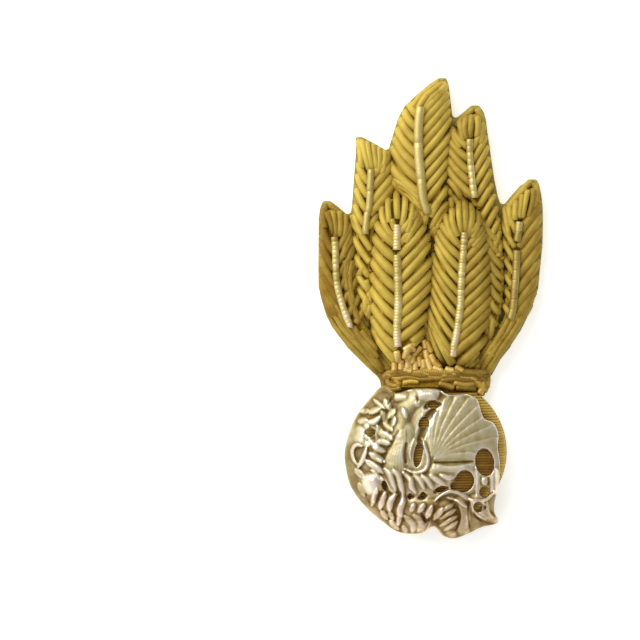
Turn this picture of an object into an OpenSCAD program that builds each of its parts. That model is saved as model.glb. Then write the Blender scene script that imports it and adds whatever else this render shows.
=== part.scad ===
// Collar badge, a flaming grenade worn on a uniform collar: padded tongues of flame worked over in gold
// purl on a stiff felt backing, above a domed ball that carries a pierced silver emblem.
// It lies on its back with the flames towards +Y, and the origin is under the middle of the badge.

/* [Badge] */
// Height from the lowest lobe of the emblem to the tip of the backing
badge_h = 64; // [56:1:76]
// Clearance between neighbouring pieces
gap = 0.1; // [0.06:0.02:0.16]

/* [Backing] */
// Thickness of the felt
felt_t = 1.2; // [0.8:0.1:2]
// Width of the felt that shows round the flames
felt_rim = 0.3; // [0.2:0.05:0.5]

/* [Flames] */
// Height of the five back tongues over the felt
back_crown = 2.5; // [2:0.1:3.2]
// Height of the two front tongues over the felt
front_crown = 4.2; // [3.6:0.1:5]
// Height of every tongue over the felt at its two ends
end_h = 0.9; // [0.6:0.1:1.2]
// Distance along the vein from one purl to the next
purl_pitch = 1.52; // [1.2:0.02:2]
// Angle between a purl and the vein
purl_lean = 46; // [40:1:60]
// Height of a purl over the hollow beside it
purl_relief = 0.3; // [0.1:0.05:0.4]

/* [Veins] */
// Diameter of the rough purl down the middle of a tongue
vein_d = 1.1; // [0.8:0.05:1.2]

/* [Neck] */
// Diameter of the strands that bind the neck
strand_d = 1.05; // [0.9:0.05:1.2]
// Rise of a strand at the middle of the neck
strand_rise = 1.5; // [1:0.1:2]

/* [Ball] */
// Radius of the padded ball
ball_r = 10.1; // [9.9:0.1:10.3]
// Height of the padded ball over the felt
ball_h = 5.2; // [4.6:0.1:5.3]

/* [Emblem] */
// Height of the emblem's plain surface over the felt
emblem_h = 6.2; // [6.1:0.1:7]
// Thickness of the pierced plate under the relief
plate_t = 0.7; // [0.5:0.05:0.75]
// Scale of the relief's thickness
relief = 1; // [0.7:0.05:1.2]

/* [Hidden] */
// The tables below are drawn for a badge of this height.
drawn_h = 64;
k = badge_h / drawn_h;
felt_top = felt_t + gap;

// Sections of each tongue, from its tip down: [y, left edge, vein, right edge]
FAR_LEFT = [
    [14.6, -14.8, -14.5, -14.1],
    [13.8, -15.1, -14.2, -13.0],
    [12.4, -15.3, -13.8, -11.4],
    [9.0, -15.35, -13.3, -10.7],
    [5.0, -15.35, -13.2, -10.3],
    [2.8, -15.3, -13.0, -10.1],
    [0.0, -14.4, -12.2, -9.6],
    [-2.4, -13.5, -11.3, -8.4],
    [-3.0, -13.1, -11.0, -7.8],
    [-5.4, -11.3, -9.5, -7.0],
    [-7.0, -9.7, -8.0, -6.0],
    [-7.7, -9.0, -7.5, -5.6],
    [-7.9, -8.8, -7.7, -6.8],
    [-9.2, -7.4, -7.1, -6.8]
];
LEFT = [
    [23.5, -10.15, -9.9, -9.6],
    [22.7, -10.1, -9.1, -8.1],
    [21.6, -10.1, -8.5, -6.2],
    [20.4, -10.2, -8.3, -5.7],
    [17.8, -10.4, -8.4, -5.5],
    [16.2, -10.5, -8.5, -5.5],
    [15.0, -10.6, -8.5, -6.0],
    [13.9, -10.7, -8.6, -6.8],
    [12.4, -10.9, -9.0, -7.4],
    [9.0, -10.7, -9.2, -7.8],
    [5.0, -10.3, -9.2, -8.1],
    [2.8, -10.1, -9.1, -8.2],
    [0.0, -9.6, -8.8, -8.1],
    [-2.2, -8.4, -8.1, -7.8]
];
CENTRE = [
    [31.7, 1.2, 1.6, 2.0],
    [31.0, 0.1, 1.0, 2.2],
    [29.5, -1.7, -0.5, 2.4],
    [27.9, -3.4, -1.5, 2.6],
    [26.2, -4.3, -1.7, 2.8],
    [24.5, -4.8, -1.8, 2.7],
    [22.6, -5.4, -1.8, 2.5],
    [20.4, -5.6, -1.7, 2.3],
    [17.8, -5.4, -1.4, 2.1],
    [16.9, -5.3, -1.3, 2.1],
    [16.5, -3.9, -1.3, 2.1],
    [15.9, -3.6, -1.3, 2.2],
    [15.0, -3.1, -1.3, 2.2],
    [13.9, -2.4, -0.8, 2.2],
    [12.4, -1.5, -0.1, 1.8],
    [10.6, -0.7, 0.3, 1.2],
    [9.6, -0.3, 0.3, 0.9]
];
RIGHT = [
    [27.9, 5.8, 6.2, 6.6],
    [27.2, 5.0, 6.0, 7.1],
    [26.2, 3.8, 5.6, 7.4],
    [24.5, 2.8, 5.4, 7.6],
    [22.6, 2.6, 5.3, 7.9],
    [20.4, 2.4, 5.4, 8.2],
    [17.8, 2.2, 5.7, 8.6],
    [15.9, 2.25, 5.85, 9.0],
    [15.4, 5.0, 5.95, 9.1],
    [14.8, 5.4, 6.2, 9.3],
    [13.9, 6.1, 7.2, 9.5],
    [12.4, 6.8, 8.3, 9.8],
    [9.0, 7.8, 9.0, 10.1],
    [5.0, 8.2, 9.3, 10.4],
    [2.8, 8.2, 9.3, 10.4],
    [0.0, 8.1, 9.1, 10.1],
    [-3.0, 7.9, 8.6, 9.4],
    [-4.8, 7.5, 7.9, 8.3]
];
FAR_RIGHT = [
    [17.6, 13.9, 14.2, 14.6],
    [16.8, 12.7, 13.9, 14.9],
    [15.8, 11.8, 13.6, 15.1],
    [14.2, 10.5, 13.0, 15.3],
    [12.4, 10.0, 12.3, 15.35],
    [9.0, 10.1, 11.9, 15.3],
    [5.0, 10.4, 11.8, 14.9],
    [2.8, 10.4, 11.6, 14.7],
    [0.0, 10.1, 11.4, 13.8],
    [-3.0, 9.4, 10.6, 12.3],
    [-4.8, 8.4, 9.7, 11.1],
    [-5.4, 7.3, 8.9, 10.8],
    [-7.0, 6.4, 8.1, 9.5],
    [-7.7, 6.0, 8.0, 9.1],
    [-7.9, 7.7, 8.3, 9.0],
    [-9.2, 7.7, 8.0, 8.3]
];
FRONT_LEFT = [
    [16.1, -5.0, -4.5, -4.0],
    [15.8, -5.4, -4.5, -3.8],
    [15.0, -6.0, -4.6, -3.2],
    [13.9, -6.8, -4.6, -2.4],
    [12.4, -7.4, -4.7, -1.5],
    [9.0, -7.8, -4.8, -0.2],
    [5.0, -8.1, -4.7, 0.0],
    [2.8, -8.2, -4.6, -0.1],
    [0.0, -8.1, -4.6, -0.5],
    [-3.0, -7.7, -4.8, -0.9],
    [-5.4, -7.0, -4.7, -1.7],
    [-7.0, -6.0, -4.4, -2.8],
    [-8.3, -5.0, -4.2, -3.4]
];
FRONT_RIGHT = [
    [14.9, 3.8, 4.3, 4.8],
    [14.5, 3.1, 4.3, 5.3],
    [13.9, 2.4, 4.4, 6.0],
    [12.4, 1.8, 4.6, 6.8],
    [10.6, 1.2, 4.6, 7.4],
    [9.0, 0.6, 4.5, 7.8],
    [5.0, 0.2, 4.2, 8.2],
    [2.8, 0.1, 4.1, 8.2],
    [0.0, -0.2, 4.0, 8.1],
    [-3.0, -0.4, 3.6, 7.9],
    [-5.4, 0.4, 3.1, 7.2],
    [-7.0, 1.1, 2.9, 6.4],
    [-8.4, 2.5, 3.6, 5.4]
];

// The flames: [name, sections, height over the felt, y of the vein's top, y of its foot]
FLAMES = [
    ["far_left", FAR_LEFT, back_crown, 10, -2.8],
    ["left", LEFT, back_crown, 19.4, 10],
    ["centre", CENTRE, back_crown + 0.2, 28, 13],
    ["right", RIGHT, back_crown, 23.6, 15.1],
    ["far_right", FAR_RIGHT, back_crown, 12.1, -1.7],
    ["front_left", FRONT_LEFT, front_crown, 11.7, -5.6],
    ["front_right", FRONT_RIGHT, front_crown, 10.6, -6.8]
];

// Half of a tongue's section: [share of the way from groove to edge, share of the crown's height]
SECTION = [[1, 0.5], [0.84, 0.84], [0.5, 1], [0, 0.72]];
groove_half = vein_d / 2 + gap;
// The crown falls to end_h over this length at both ends of a tongue.
ramp = 2.4;

// A table's column at y, on the drawn badge
function at(rows, y, column) = lookup(y, [for (r = rows) [r[0], r[column]]]);
function y_top(rows) = rows[0][0];
function y_foot(rows) = rows[len(rows) - 1][0];
function ease(v) = sin(90 * max(0, min(1, v)));

// Height over the felt at t of the way up a tongue, where the crown would be h
function swell(rows, t, h) =
    let (run = min(t, 1 - t) * (y_top(rows) - y_foot(rows)))
    end_h + (h - end_h) * ease(run / ramp);

// A point on a tongue's surface: t runs up the vein, e from groove to edge, side is -1 or 1.
// Away from the vein it is raised along the purl, less so near both ends of the tongue.
function tongue_point(rows, crown, t, e, share, side, ridge) =
    let (
        length = y_top(rows) - y_foot(rows),
        y0 = y_foot(rows) + length * t,
        column = side < 0 ? 1 : 3,
        w0 = abs(at(rows, y0, column) - at(rows, y0, 2)),
        climb = min(w0, 0.55 * length * (1 - t), 1.2 * length * t) / tan(purl_lean),
        y = y0 + e * climb,
        w = abs(at(rows, y, column) - at(rows, y, 2)),
        groove = min(groove_half, w / 2),
        rise = swell(rows, t, crown * share),
        rib = e > 0 ? ridge * purl_relief / 2 * ease(min(t, 1 - t) * length / ramp) : 0
    )
    [k * (at(rows, y, 2) + side * (groove + e * (w - groove - gap / 2))), k * y, felt_top + rise + rib];

function on_felt(p) = [p[0], p[1], felt_top];

// One row of a tongue's points, from the felt at its left edge over the top to the felt at its right
function tongue_row(rows, crown, t, ridge) =
    let (
        left = [for (s = SECTION) tongue_point(rows, crown, t, s[0], s[1], -1, ridge)],
        right = [for (s = SECTION) tongue_point(rows, crown, t, s[0], s[1], 1, ridge)],
        n = len(SECTION) - 1
    )
    concat([on_felt(left[0])], left, [for (i = [n:-1:0]) right[i]], [on_felt(right[0])]);

// Triangles that join rings of n points into a closed solid
function skin_faces(rings, n) = concat(
    [for (i = [0:rings - 2], j = [0:n - 1])
        let (a = i * n + j, b = i * n + (j + 1) % n)
        each [[a, b, b + n], [a, b + n, a + n]]],
    [for (j = [1:n - 2]) [0, j + 1, j]],
    [for (j = [1:n - 2]) let (top = (rings - 1) * n) [top, top + j, top + j + 1]]
);

module skin(rows) {
    n = len(rows[0]);
    polyhedron(points = [for (r = rows) each r], faces = skin_faces(len(rows), n));
}

// A padded tongue, whose ridges and hollows are the purl laid over it
module tongue(flame) {
    rows = flame[1];
    steps = 2 * round((y_top(rows) - y_foot(rows)) / purl_pitch);
    color("goldenrod")
    skin([for (i = [0:steps]) tongue_row(rows, flame[2], i / steps, i % 2 == 0 ? -1 : 1)]);
}

// Rings of a round strand that runs through the given points
function tube_rings(points, r, sides) = [
    for (i = [0:len(points) - 1])
        let (
            ahead = points[min(i + 1, len(points) - 1)] - points[max(i - 1, 0)],
            along = ahead / norm(ahead),
            across = cross(along, [0, 0, 1]) / norm(cross(along, [0, 0, 1])),
            up = cross(across, along)
        )
        [for (j = [0:sides - 1]) let (a = 360 * j / sides) points[i] + r * (cos(a) * across + sin(a) * up)]
];

// The rough purl in a tongue's groove
module vein(flame) {
    rows = flame[1];
    length = y_top(rows) - y_foot(rows);
    floor_h = flame[2] * SECTION[len(SECTION) - 1][1];
    steps = ceil((flame[3] - flame[4]) / (1.4 * vein_d));
    route = [
        for (i = [0:steps])
            let (y = flame[4] + (flame[3] - flame[4]) * i / steps)
            [k * at(rows, y, 2), k * y,
                felt_top + swell(rows, (y - y_foot(rows)) / length, floor_h) + gap + vein_d / 2]
    ];
    color("palegoldenrod") skin(tube_rings(route, vein_d / 2, 6));
}

// Outline of a tongue on the felt
module tongue_plan(rows) {
    polygon(k * concat(
        [for (r = rows) [r[1], r[0]]],
        [for (i = [len(rows) - 1:-1:0]) [rows[i][3], rows[i][0]]]
    ));
}

// Neck, between the feet of the flames and the ball
neck_at = [0.5, -10];
neck_w = 13.6;
// The patch of cut purl between the front tongues
CHIPS_PLAN = [[-0.65, -3.4], [-1.3, -5.4], [-2.45, -7], [-3.2, -8.2], [2.2, -8.4], [0.75, -7], [0, -5.4]];
chips_h = 2.2;
chip_d = 0.9;
chip_l = 1.5;
// Where each chip lies: [x, y, turn]
CHIPS = [
    [-0.9, -4.9, 70],
    [-1.4, -6.4, 20],
    [-0.2, -6.2, 100],
    [-2.2, -7.6, 60],
    [-0.8, -7.7, -20],
    [0.7, -7.6, 50]
];

// Notches and slits narrower than twice this are filled in the felt.
close_r = 0.8;

// Ball
ball_at = [0.5 * k, -20 * k, 0];

// Outline of the emblem, anticlockwise from its top left: [x, y]
EMBLEM_PLAN = [
    [-6.7, -10.8], [-9.0, -13.2], [-10.8, -15.8], [-11.9, -19.3], [-11.9, -21.8], [-11.1, -24.9],
    [-9.0, -27.7], [-6.3, -30.0], [-4.2, -31.2], [-1.2, -31.2], [0.3, -30.2], [1.5, -31.5],
    [3.2, -32.0], [5.2, -31.3], [7.1, -30.4], [9.4, -29.9], [8.8, -28.4], [8.8, -26.9],
    [9.2, -25.0], [9.4, -23.2], [9.4, -21.3], [9.1, -19.3], [9.2, -17.5], [8.5, -15.9],
    [7.2, -15.3], [6.7, -13.9], [6.2, -12.6], [4.8, -11.9], [2.4, -12.0], [0.7, -11.2],
    [-2.6, -11.2], [-4.9, -11.8]
];
// Gaps pierced through the emblem: [x, y, width, length, turn]
PIERCINGS = [
    [-1.9, -20.2, 1.2, 3.6, -8],
    [0.2, -13.4, 1.8, 1.1, 0],
    [-1.1, -15.9, 1.4, 1.9, -20],
    [7.3, -21.3, 2.7, 3.9, 10],
    [4.5, -23.9, 2.7, 3.1, -10],
    [3.1, -24.6, 1.1, 1.1, 0],
    [7.3, -25.4, 1.5, 1.6, 0],
    [-8.4, -17.2, 1.3, 1.3, 0],
    [-6.5, -24.5, 0.7, 1.4, 10],
    [1.2, -25.0, 1.6, 0.8, 15],
    [-1.2, -25.9, 0.8, 1.1, 0],
    [-3.0, -26.0, 0.6, 0.9, 0],
    [6.4, -27.5, 1.3, 1.5, 0]
];

// Fan of ribs: its hub, and for each rib [direction, length, radius]
FAN_HUB = [0, -20.8];
FAN = [
    [75, 8.2, 0.45],
    [65, 9.0, 0.5],
    [55, 9.6, 0.5],
    [45, 9.4, 0.52],
    [34, 9.4, 0.52],
    [24, 9.5, 0.5],
    [14, 8.2, 0.45],
    [4, 5.6, 0.4]
];
// Stem, scrolls and leaves: [radius at the start, radius at the end, the points that it runs through]
SCROLLS = [
    [0.9, 1.05, [[-0.3, -11.9], [-2.6, -12.6], [-4.2, -15.0], [-4.5, -18.0], [-5.2, -21.0], [-5.4, -22.6]]],
    [0.35, 0.35, [[-1.5, -18.2], [-0.6, -20.2], [-0.7, -21.6], [-1.4, -22.4], [-3.2, -22.4]]],
    [0.35, 0.35, [[-9.8, -19.3], [-11.0, -19.7], [-10.8, -20.8]]],
    [0.35, 0.35, [[-9.3, -19.6], [-9.6, -21.3], [-10.2, -22.0]]],
    [0.7, 0.6, [[-9.6, -17.0], [-10.0, -18.2]]],
    [0.4, 0.35, [[-9.2, -14.3], [-7.2, -14.0]]],
    [0.4, 0.45, [[-9.4, -15.8], [-8.4, -16.1], [-7.2, -15.4]]],
    [0.6, 0.55, [[0, -22.3], [4.2, -22.0]]],
    [0.35, 0.35, [[0.8, -26.5], [2.1, -25.5], [3.6, -25.5], [5.3, -26.3], [7.0, -26.6], [8.3, -25.6]]],
    [0.75, 0.65, [[4.0, -27.2], [4.4, -28.8], [4.2, -30.5]]],
    [0.9, 0.4, [[6.2, -27.4], [7.1, -28.6], [9.0, -29.7]]]
];
// Rows of like ribs, which are the ribs under the stem, the ribbon, the scallops, the lobe's stripes and the
// fingers at the left: [the first one's start, the step to the next, the run of each, how many, radius]
RIB_ROWS = [
    [[-5.8, -22.8], [1.3, -0.05], [1.0, -2.3], 4, 0.34],
    [[-7.9, -25.1], [1.28, -0.38], [-0.3, -2.2], 4, 0.42],
    [[-2.4, -26.9], [1.25, -0.2], [-0.7, -1.1], 4, 0.35],
    [[1.7, -28.0], [0.03, -0.85], [1.4, 0.9], 4, 0.34],
    [[-8.7, -21.3], [0.5, 1.0], [1.3, -0.9], 4, 0.38]
];
// Smooth boss at the lower left: [x, y, width, length]
BOSS = [-8.2, -24.4, 2.4, 3.4];

// Closed curve through the points p, with n steps from each to the next
function loop_curve(p, n) = [
    for (i = [0:len(p) - 1], j = [0:n - 1])
        let (
            c = len(p), t = j / n,
            a = p[(i + c - 1) % c], b = p[i], d = p[(i + 1) % c], e = p[(i + 2) % c]
        )
        (2 * b + (d - a) * t + (2 * a - 5 * b + 4 * d - e) * t ^ 2 + (3 * b - a - 3 * d + e) * t ^ 3) / 2
];

// Height of the emblem's plain surface at a place on the drawn badge
function dome_z(p) =
    let (from_hub = norm([k * p[0] - ball_at[0], k * p[1] - ball_at[1]]) / emblem_r())
    felt_top + emblem_h * sqrt(max(0, 1 - from_hub ^ 2));
function emblem_r() = 13.3 * k;

module emblem_plan() {
    polygon(k * loop_curve(EMBLEM_PLAN, 3));
}

// Half an ellipsoid that stands on the felt
module dome(r, h, facets) {
    translate(ball_at + [0, 0, felt_top])
    scale([1, 1, h / r])
    sphere(r, $fn = facets);
}

// One bead of relief, sunk in the surface, whose centre is at p on the drawn badge
module bead(p, r) {
    translate([k * p[0], k * p[1], dome_z(p) - 0.25 * r]) sphere(r * relief, $fn = 6);
}

// A raised stroke through the points p, which goes from radius r0 to r1
module stroke(p, r0, r1) {
    last = len(p) - 1;
    for (i = [0:last - 1]) hull() {
        bead(p[i], r0 + (r1 - r0) * i / last);
        bead(p[i + 1], r0 + (r1 - r0) * (i + 1) / last);
    }
}

module fan() {
    for (f = FAN) {
        way = [cos(f[0]), sin(f[0])];
        stroke([FAN_HUB + 1.6 * way, FAN_HUB + 0.55 * f[1] * way, FAN_HUB + f[1] * way], 0.25, f[2]);
    }
}

module rib_rows() {
    for (row = RIB_ROWS, i = [0:row[3] - 1]) {
        start = row[0] + i * row[1];
        stroke([start, start + row[2]], row[4], row[4]);
    }
}

module boss() {
    translate([k * BOSS[0], k * BOSS[1], dome_z(BOSS)])
    rotate(20)
    scale([BOSS[2] / 2, BOSS[3] / 2, 1.1 * relief])
    sphere(1, $fn = 14);
}

module backing() {
    color("darkolivegreen")
    linear_extrude(felt_t) {
        offset(r = felt_rim - close_r, $fn = 16) offset(r = close_r, $fn = 16) {
            for (f = FLAMES) tongue_plan(f[1]);
            translate(k * neck_at) square([k * neck_w, 4], center = true);
            polygon(k * CHIPS_PLAN);
        }
        offset(r = -0.5, $fn = 16) emblem_plan();
        translate([ball_at[0], ball_at[1]]) circle(ball_r * k);
    }
}

// Strands of purl that bow over a core of string
module neck_wrap() {
    half = k * neck_w / 2;
    bow_r = (half ^ 2 + strand_rise ^ 2) / (2 * strand_rise);
    sweep = 2 * asin(half / bow_r);
    foot_z = felt_top + strand_d / 2;
    color("goldenrod")
    for (i = [-1:1])
        translate([k * neck_at[0], k * neck_at[1] + i * 0.85 * strand_d, foot_z + strand_rise - bow_r])
        rotate([90, 0, 0])
        rotate_extrude(angle = sweep, start = 90 - sweep / 2, $fn = 96)
        translate([bow_r, 0])
        circle(d = strand_d, $fn = 24);
}

module neck_chips() {
    color("gold") {
        translate([0, 0, felt_top]) linear_extrude(chips_h) polygon(k * CHIPS_PLAN);
        for (c = CHIPS)
            translate([k * c[0], k * c[1], felt_top + chips_h])
            rotate([0, 90, c[2]])
            cylinder(d = chip_d, h = chip_l, center = true, $fn = 24);
    }
}

// A full dome, steep at its rim and cut straight where the neck binds it
module ball_pad() {
    steps = 10;
    neck_foot = k * neck_at[1] - 1.4 * strand_d - gap;
    color("darkgoldenrod")
    difference() {
        translate([ball_at[0], ball_at[1], felt_top])
        rotate_extrude($fn = 96)
        polygon(concat([[0, 0]], [
            for (i = [0:steps])
                let (out = cos(90 * i / steps))
                [k * ball_r * out ^ 0.7, ball_h * (1 - out ^ 2) ^ 0.45]
        ]));
        translate([-drawn_h, neck_foot, 0]) cube(2 * drawn_h);
    }
}

module emblem() {
    color("silver")
    difference() {
        union() {
            difference() {
                dome(emblem_r(), emblem_h, 40);
                dome(emblem_r() - plate_t, emblem_h - plate_t, 30);
            }
            fan();
            for (s = SCROLLS) stroke(s[2], s[0], s[1]);
            rib_rows();
            boss();
        }
        // What lies outside the outline, below the felt's top or in a piercing is cut away.
        linear_extrude(3 * emblem_h) difference() {
            square(4 * drawn_h, center = true);
            emblem_plan();
        }
        translate([0, 0, felt_top - drawn_h]) cube(2 * drawn_h, center = true);
        dome(emblem_r() - plate_t, emblem_h - plate_t, 30);
        for (p = PIERCINGS)
            translate([k * p[0], k * p[1]])
            rotate(p[4])
            scale([p[2] / 2, p[3] / 2])
            cylinder(r = k, h = 3 * emblem_h, $fn = 12);
    }
}

backing();
for (f = FLAMES) {
    tongue(f);
    vein(f);
}
neck_wrap();
neck_chips();
ball_pad();
emblem();
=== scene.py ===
"""Collar badge: felt, padded gold purl and a cast silver emblem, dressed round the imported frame."""

import math

import bmesh
import bpy
import numpy as np
from bpy.props import FloatProperty, FloatVectorProperty, IntProperty, PointerProperty
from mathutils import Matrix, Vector
from mathutils.bvhtree import BVHTree


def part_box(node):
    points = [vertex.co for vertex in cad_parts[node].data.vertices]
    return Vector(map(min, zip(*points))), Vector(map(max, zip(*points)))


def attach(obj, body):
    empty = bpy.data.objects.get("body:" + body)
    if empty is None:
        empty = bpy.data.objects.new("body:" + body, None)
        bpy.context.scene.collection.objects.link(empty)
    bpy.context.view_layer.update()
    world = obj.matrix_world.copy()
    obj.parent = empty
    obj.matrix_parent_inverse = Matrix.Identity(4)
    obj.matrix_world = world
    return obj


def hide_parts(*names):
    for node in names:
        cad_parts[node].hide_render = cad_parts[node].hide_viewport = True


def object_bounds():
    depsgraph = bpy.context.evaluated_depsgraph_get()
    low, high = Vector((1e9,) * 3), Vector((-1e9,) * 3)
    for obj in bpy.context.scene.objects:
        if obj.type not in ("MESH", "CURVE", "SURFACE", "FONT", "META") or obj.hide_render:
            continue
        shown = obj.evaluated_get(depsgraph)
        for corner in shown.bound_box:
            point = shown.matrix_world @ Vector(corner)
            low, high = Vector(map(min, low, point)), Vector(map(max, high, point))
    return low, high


bl_info = {
    "name": "Bullion Collar Badge",
    "version": (1, 0, 0),
    "blender": (4, 5, 0),
    "location": "3D View > Sidebar > Badge",
    "description": "Dresses a padded collar badge in felt, gold purl and cast silver",
    "category": "Add Mesh",
}

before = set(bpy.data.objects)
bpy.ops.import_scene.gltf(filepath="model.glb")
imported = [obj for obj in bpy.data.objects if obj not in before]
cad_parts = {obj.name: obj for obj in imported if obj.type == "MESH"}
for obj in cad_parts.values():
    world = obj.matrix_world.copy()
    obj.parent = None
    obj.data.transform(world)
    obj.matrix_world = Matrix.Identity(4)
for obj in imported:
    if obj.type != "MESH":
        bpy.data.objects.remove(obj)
CAD_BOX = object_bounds()
MM = 0.001
BODY = "root"
FLAMES = [name.removeprefix("tongue_") for name in sorted(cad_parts) if name.startswith("tongue_")]


def srgb(code):
    """An sRGB hex colour as linear red, green, blue and alpha."""
    parts = [int(code[i:i + 2], 16) / 255 for i in (1, 3, 5)]
    return tuple(c / 12.92 if c <= 0.04045 else ((c + 0.055) / 1.055) ** 2.4 for c in parts) + (1.0,)


def length_prop(name, description, millimetres):
    return FloatProperty(name=name, description=description, default=millimetres * MM, unit="LENGTH",
                         precision=5)


def colour_prop(name, description, code):
    return FloatVectorProperty(name=name, description=description, default=srgb(code), subtype="COLOR",
                               size=4, min=0, max=1)


class FeltProps(bpy.types.PropertyGroup):
    round_over: length_prop("Round over", "How far the felt's cut edges are rounded", 0.22)
    colour: colour_prop("Colour", "Olive of the felt", "#B4A658")
    fibre: length_prop("Fibre", "Size of the tufts of wool in the felt's surface", 0.35)


class PurlProps(bpy.types.PropertyGroup):
    fill: FloatProperty(name="Fill", description="Width of a purl as a share of the room it has",
                        default=1.12, min=0.8, max=1.4)
    thin: length_prop("Thin", "Width of the thinnest purl", 0.85)
    by_hand: length_prop("By hand", "Width of the purl laid by hand at the tips and feet", 0.95)
    tuck: length_prop("Tuck", "Distance from the vein's middle at which a purl starts", 0.36)
    wire: length_prop("Wire", "Width of one turn of the wire that the purl is coiled from", 0.24)
    stray: length_prop("Stray", "How far the purl of a row lies from an even spacing", 0.1)
    colour: colour_prop("Colour", "Gilt of the purl", "#D6BC54")
    dull: colour_prop("Dull colour", "Gilt of the dullest purl", "#8E6C16")


class VeinProps(bpy.types.PropertyGroup):
    colour: colour_prop("Colour", "Pale gilt of the rough purl", "#D6C47C")
    dull: colour_prop("Dull colour", "Gilt of its turns that lie in shade", "#A98F48")
    # The brightest turns' colour, a painted rosy glint
    rosy_glint: colour_prop("Blush", "Rosy silver of some of its turns", "#E6C9B4")


class NeckProps(bpy.types.PropertyGroup):
    strand: length_prop("Strand", "Diameter of the strands that bind the neck", 1.0)
    chip: length_prop("Chip", "Diameter of the chips of cut purl", 0.9)
    seed: IntProperty(name="Seed", description="Picks how the chips fall", default=4)


class BallProps(bpy.types.PropertyGroup):
    wire: length_prop("Wire", "Diameter of the gilt wire laid over the ball", 0.5)
    colour: colour_prop("Colour", "Gilt of the wire at the ball's rim", "#C8A83C")
    # Painted shade: the wire under the casting is given this darker colour
    shade: colour_prop("Shade", "Brown of the wire under the casting", "#8A6020")


class EmblemProps(bpy.types.PropertyGroup):
    reach: length_prop("Reach", "Radius of the dome that the emblem is cast to", 13.3)
    rise: length_prop("Rise", "Height of that dome over the felt", 6.2)
    plate: length_prop("Plate", "Thickness of the casting between its relief", 0.7)
    voxel: length_prop("Detail", "Smallest form of the casting that is kept", 0.112)
    # The raised relief's colour: silver, lighter as a painted highlight on the ridges
    colour: colour_prop("Colour", "Warm silver of the rubbed relief", "#EADFCB")
    # The hollows' colour: brown tarnish, partly painted shade
    tarnish_and_shade: colour_prop("Tarnish", "Brown of the hollows", "#745A28")


class StudioProps(bpy.types.PropertyGroup):
    key: FloatProperty(name="Key light", description="Power of the soft light at the upper left",
                       subtype="POWER", default=2.0)
    sky: FloatProperty(name="Sky", description="Strength of the soft light all round", default=0.92)
    shade: FloatProperty(name="Shade", description="How strong that light still is from the right",
                         default=0.45)
    frame_width: length_prop("Frame width", "Width of the picture at the badge", 88.66)
    centre_x: length_prop("Centre x", "Place of the picture's middle, across", -15.4)
    centre_y: length_prop("Centre y", "Place of the picture's middle, up the badge", -1.7)
    camera_height: length_prop("Camera height", "Height of the camera over the table", 500)
    floor: colour_prop("Floor", "White of the light table that the badge lies on", "#F6F6F4")
    glow: FloatProperty(name="Glow", description="Strength of the light from under the table", default=0.5)


PROPS = {"felt": FeltProps, "purl": PurlProps, "vein": VeinProps, "neck": NeckProps, "ball": BallProps,
         "emblem": EmblemProps, "studio": StudioProps}


def props(part):
    return getattr(bpy.context.scene, "badge_" + part)


def deselect():
    bpy.ops.object.select_all(action="DESELECT")


def make_active(piece):
    deselect()
    piece.select_set(True)
    bpy.context.view_layer.objects.active = piece


def select_faces(piece, wanted):
    """In edit mode, selects the faces for which wanted(face) is true, and nothing else."""
    bpy.ops.mesh.select_mode(type="FACE")
    mesh = bmesh.from_edit_mesh(piece.data)
    for face in mesh.faces:
        face.select_set(bool(wanted(face)))
    mesh.select_flush_mode()
    bmesh.update_edit_mesh(piece.data)


def apply_modifier(piece, kind, **settings):
    make_active(piece)
    modifier = piece.modifiers.new(kind.title(), kind)
    for key, value in settings.items():
        setattr(modifier, key, value)
    bpy.ops.object.modifier_apply(modifier=modifier.name)


def rows_of(items, name, width=3, kind=float):
    """A row of numbers for each of a mesh's points or edges, such as its place."""
    flat = np.empty(len(items) * width, kind)
    items.foreach_get(name, flat)
    return flat.reshape(-1, width)


def points_of(mesh):
    return rows_of(mesh.vertices, "co")


def put_points(mesh, points):
    mesh.vertices.foreach_set("co", np.asarray(points, float).ravel())
    mesh.update()


def keep_value(mesh, name, values):
    """Stores one number for each point under a name that a material reads."""
    layer = mesh.attributes.get(name) or mesh.attributes.new(name, "FLOAT", "POINT")
    layer.data.foreach_set("value", np.broadcast_to(values, len(mesh.vertices)).astype(np.float32))


def new_object(name, mesh):
    piece = bpy.data.objects.new(name, mesh)
    bpy.context.scene.collection.objects.link(piece)
    return piece


def copy_of_node(name, node):
    """A new piece with a CAD node's shape, its loose triangles merged."""
    piece = new_object(name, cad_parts[node].data.copy())
    piece.data.materials.clear()
    make_active(piece)
    bpy.ops.object.mode_set(mode="EDIT")
    bpy.ops.mesh.select_all(action="SELECT")
    bpy.ops.mesh.remove_doubles(threshold=0.002 * MM)
    bpy.ops.object.mode_set(mode="OBJECT")
    return piece


def join(pieces, name):
    """Joins the pieces into one mesh."""
    deselect()
    for piece in pieces:
        piece.select_set(True)
    bpy.context.view_layer.objects.active = pieces[0]
    bpy.ops.object.join()
    pieces[0].name = pieces[0].data.name = name
    return pieces[0]


def dress(piece, material, nodes, smooth=True):
    """Finishes a piece: its material, its shading, the body it rides on and the CAD nodes it stands for."""
    piece.data.materials.clear()
    piece.data.materials.append(material)
    make_active(piece)
    if smooth:
        bpy.ops.object.shade_smooth()
    else:
        bpy.ops.object.shade_flat()
    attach(piece, BODY)
    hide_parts(*nodes)
    return piece


def edges_of(node):
    """The two ends of each of a CAD node's edges."""
    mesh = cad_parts[node].data
    return points_of(mesh)[rows_of(mesh.edges, "vertices", 2, int)]


def cut_across(edges, y):
    """The points where the edges cross the plane at y."""
    a, b = edges[:, 0], edges[:, 1]
    crossing = (a[:, 1] - y) * (b[:, 1] - y) < 0
    a, b = a[crossing], b[crossing]
    return a + ((y - a[:, 1]) / (b[:, 1] - a[:, 1]))[:, None] * (b - a)


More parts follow.
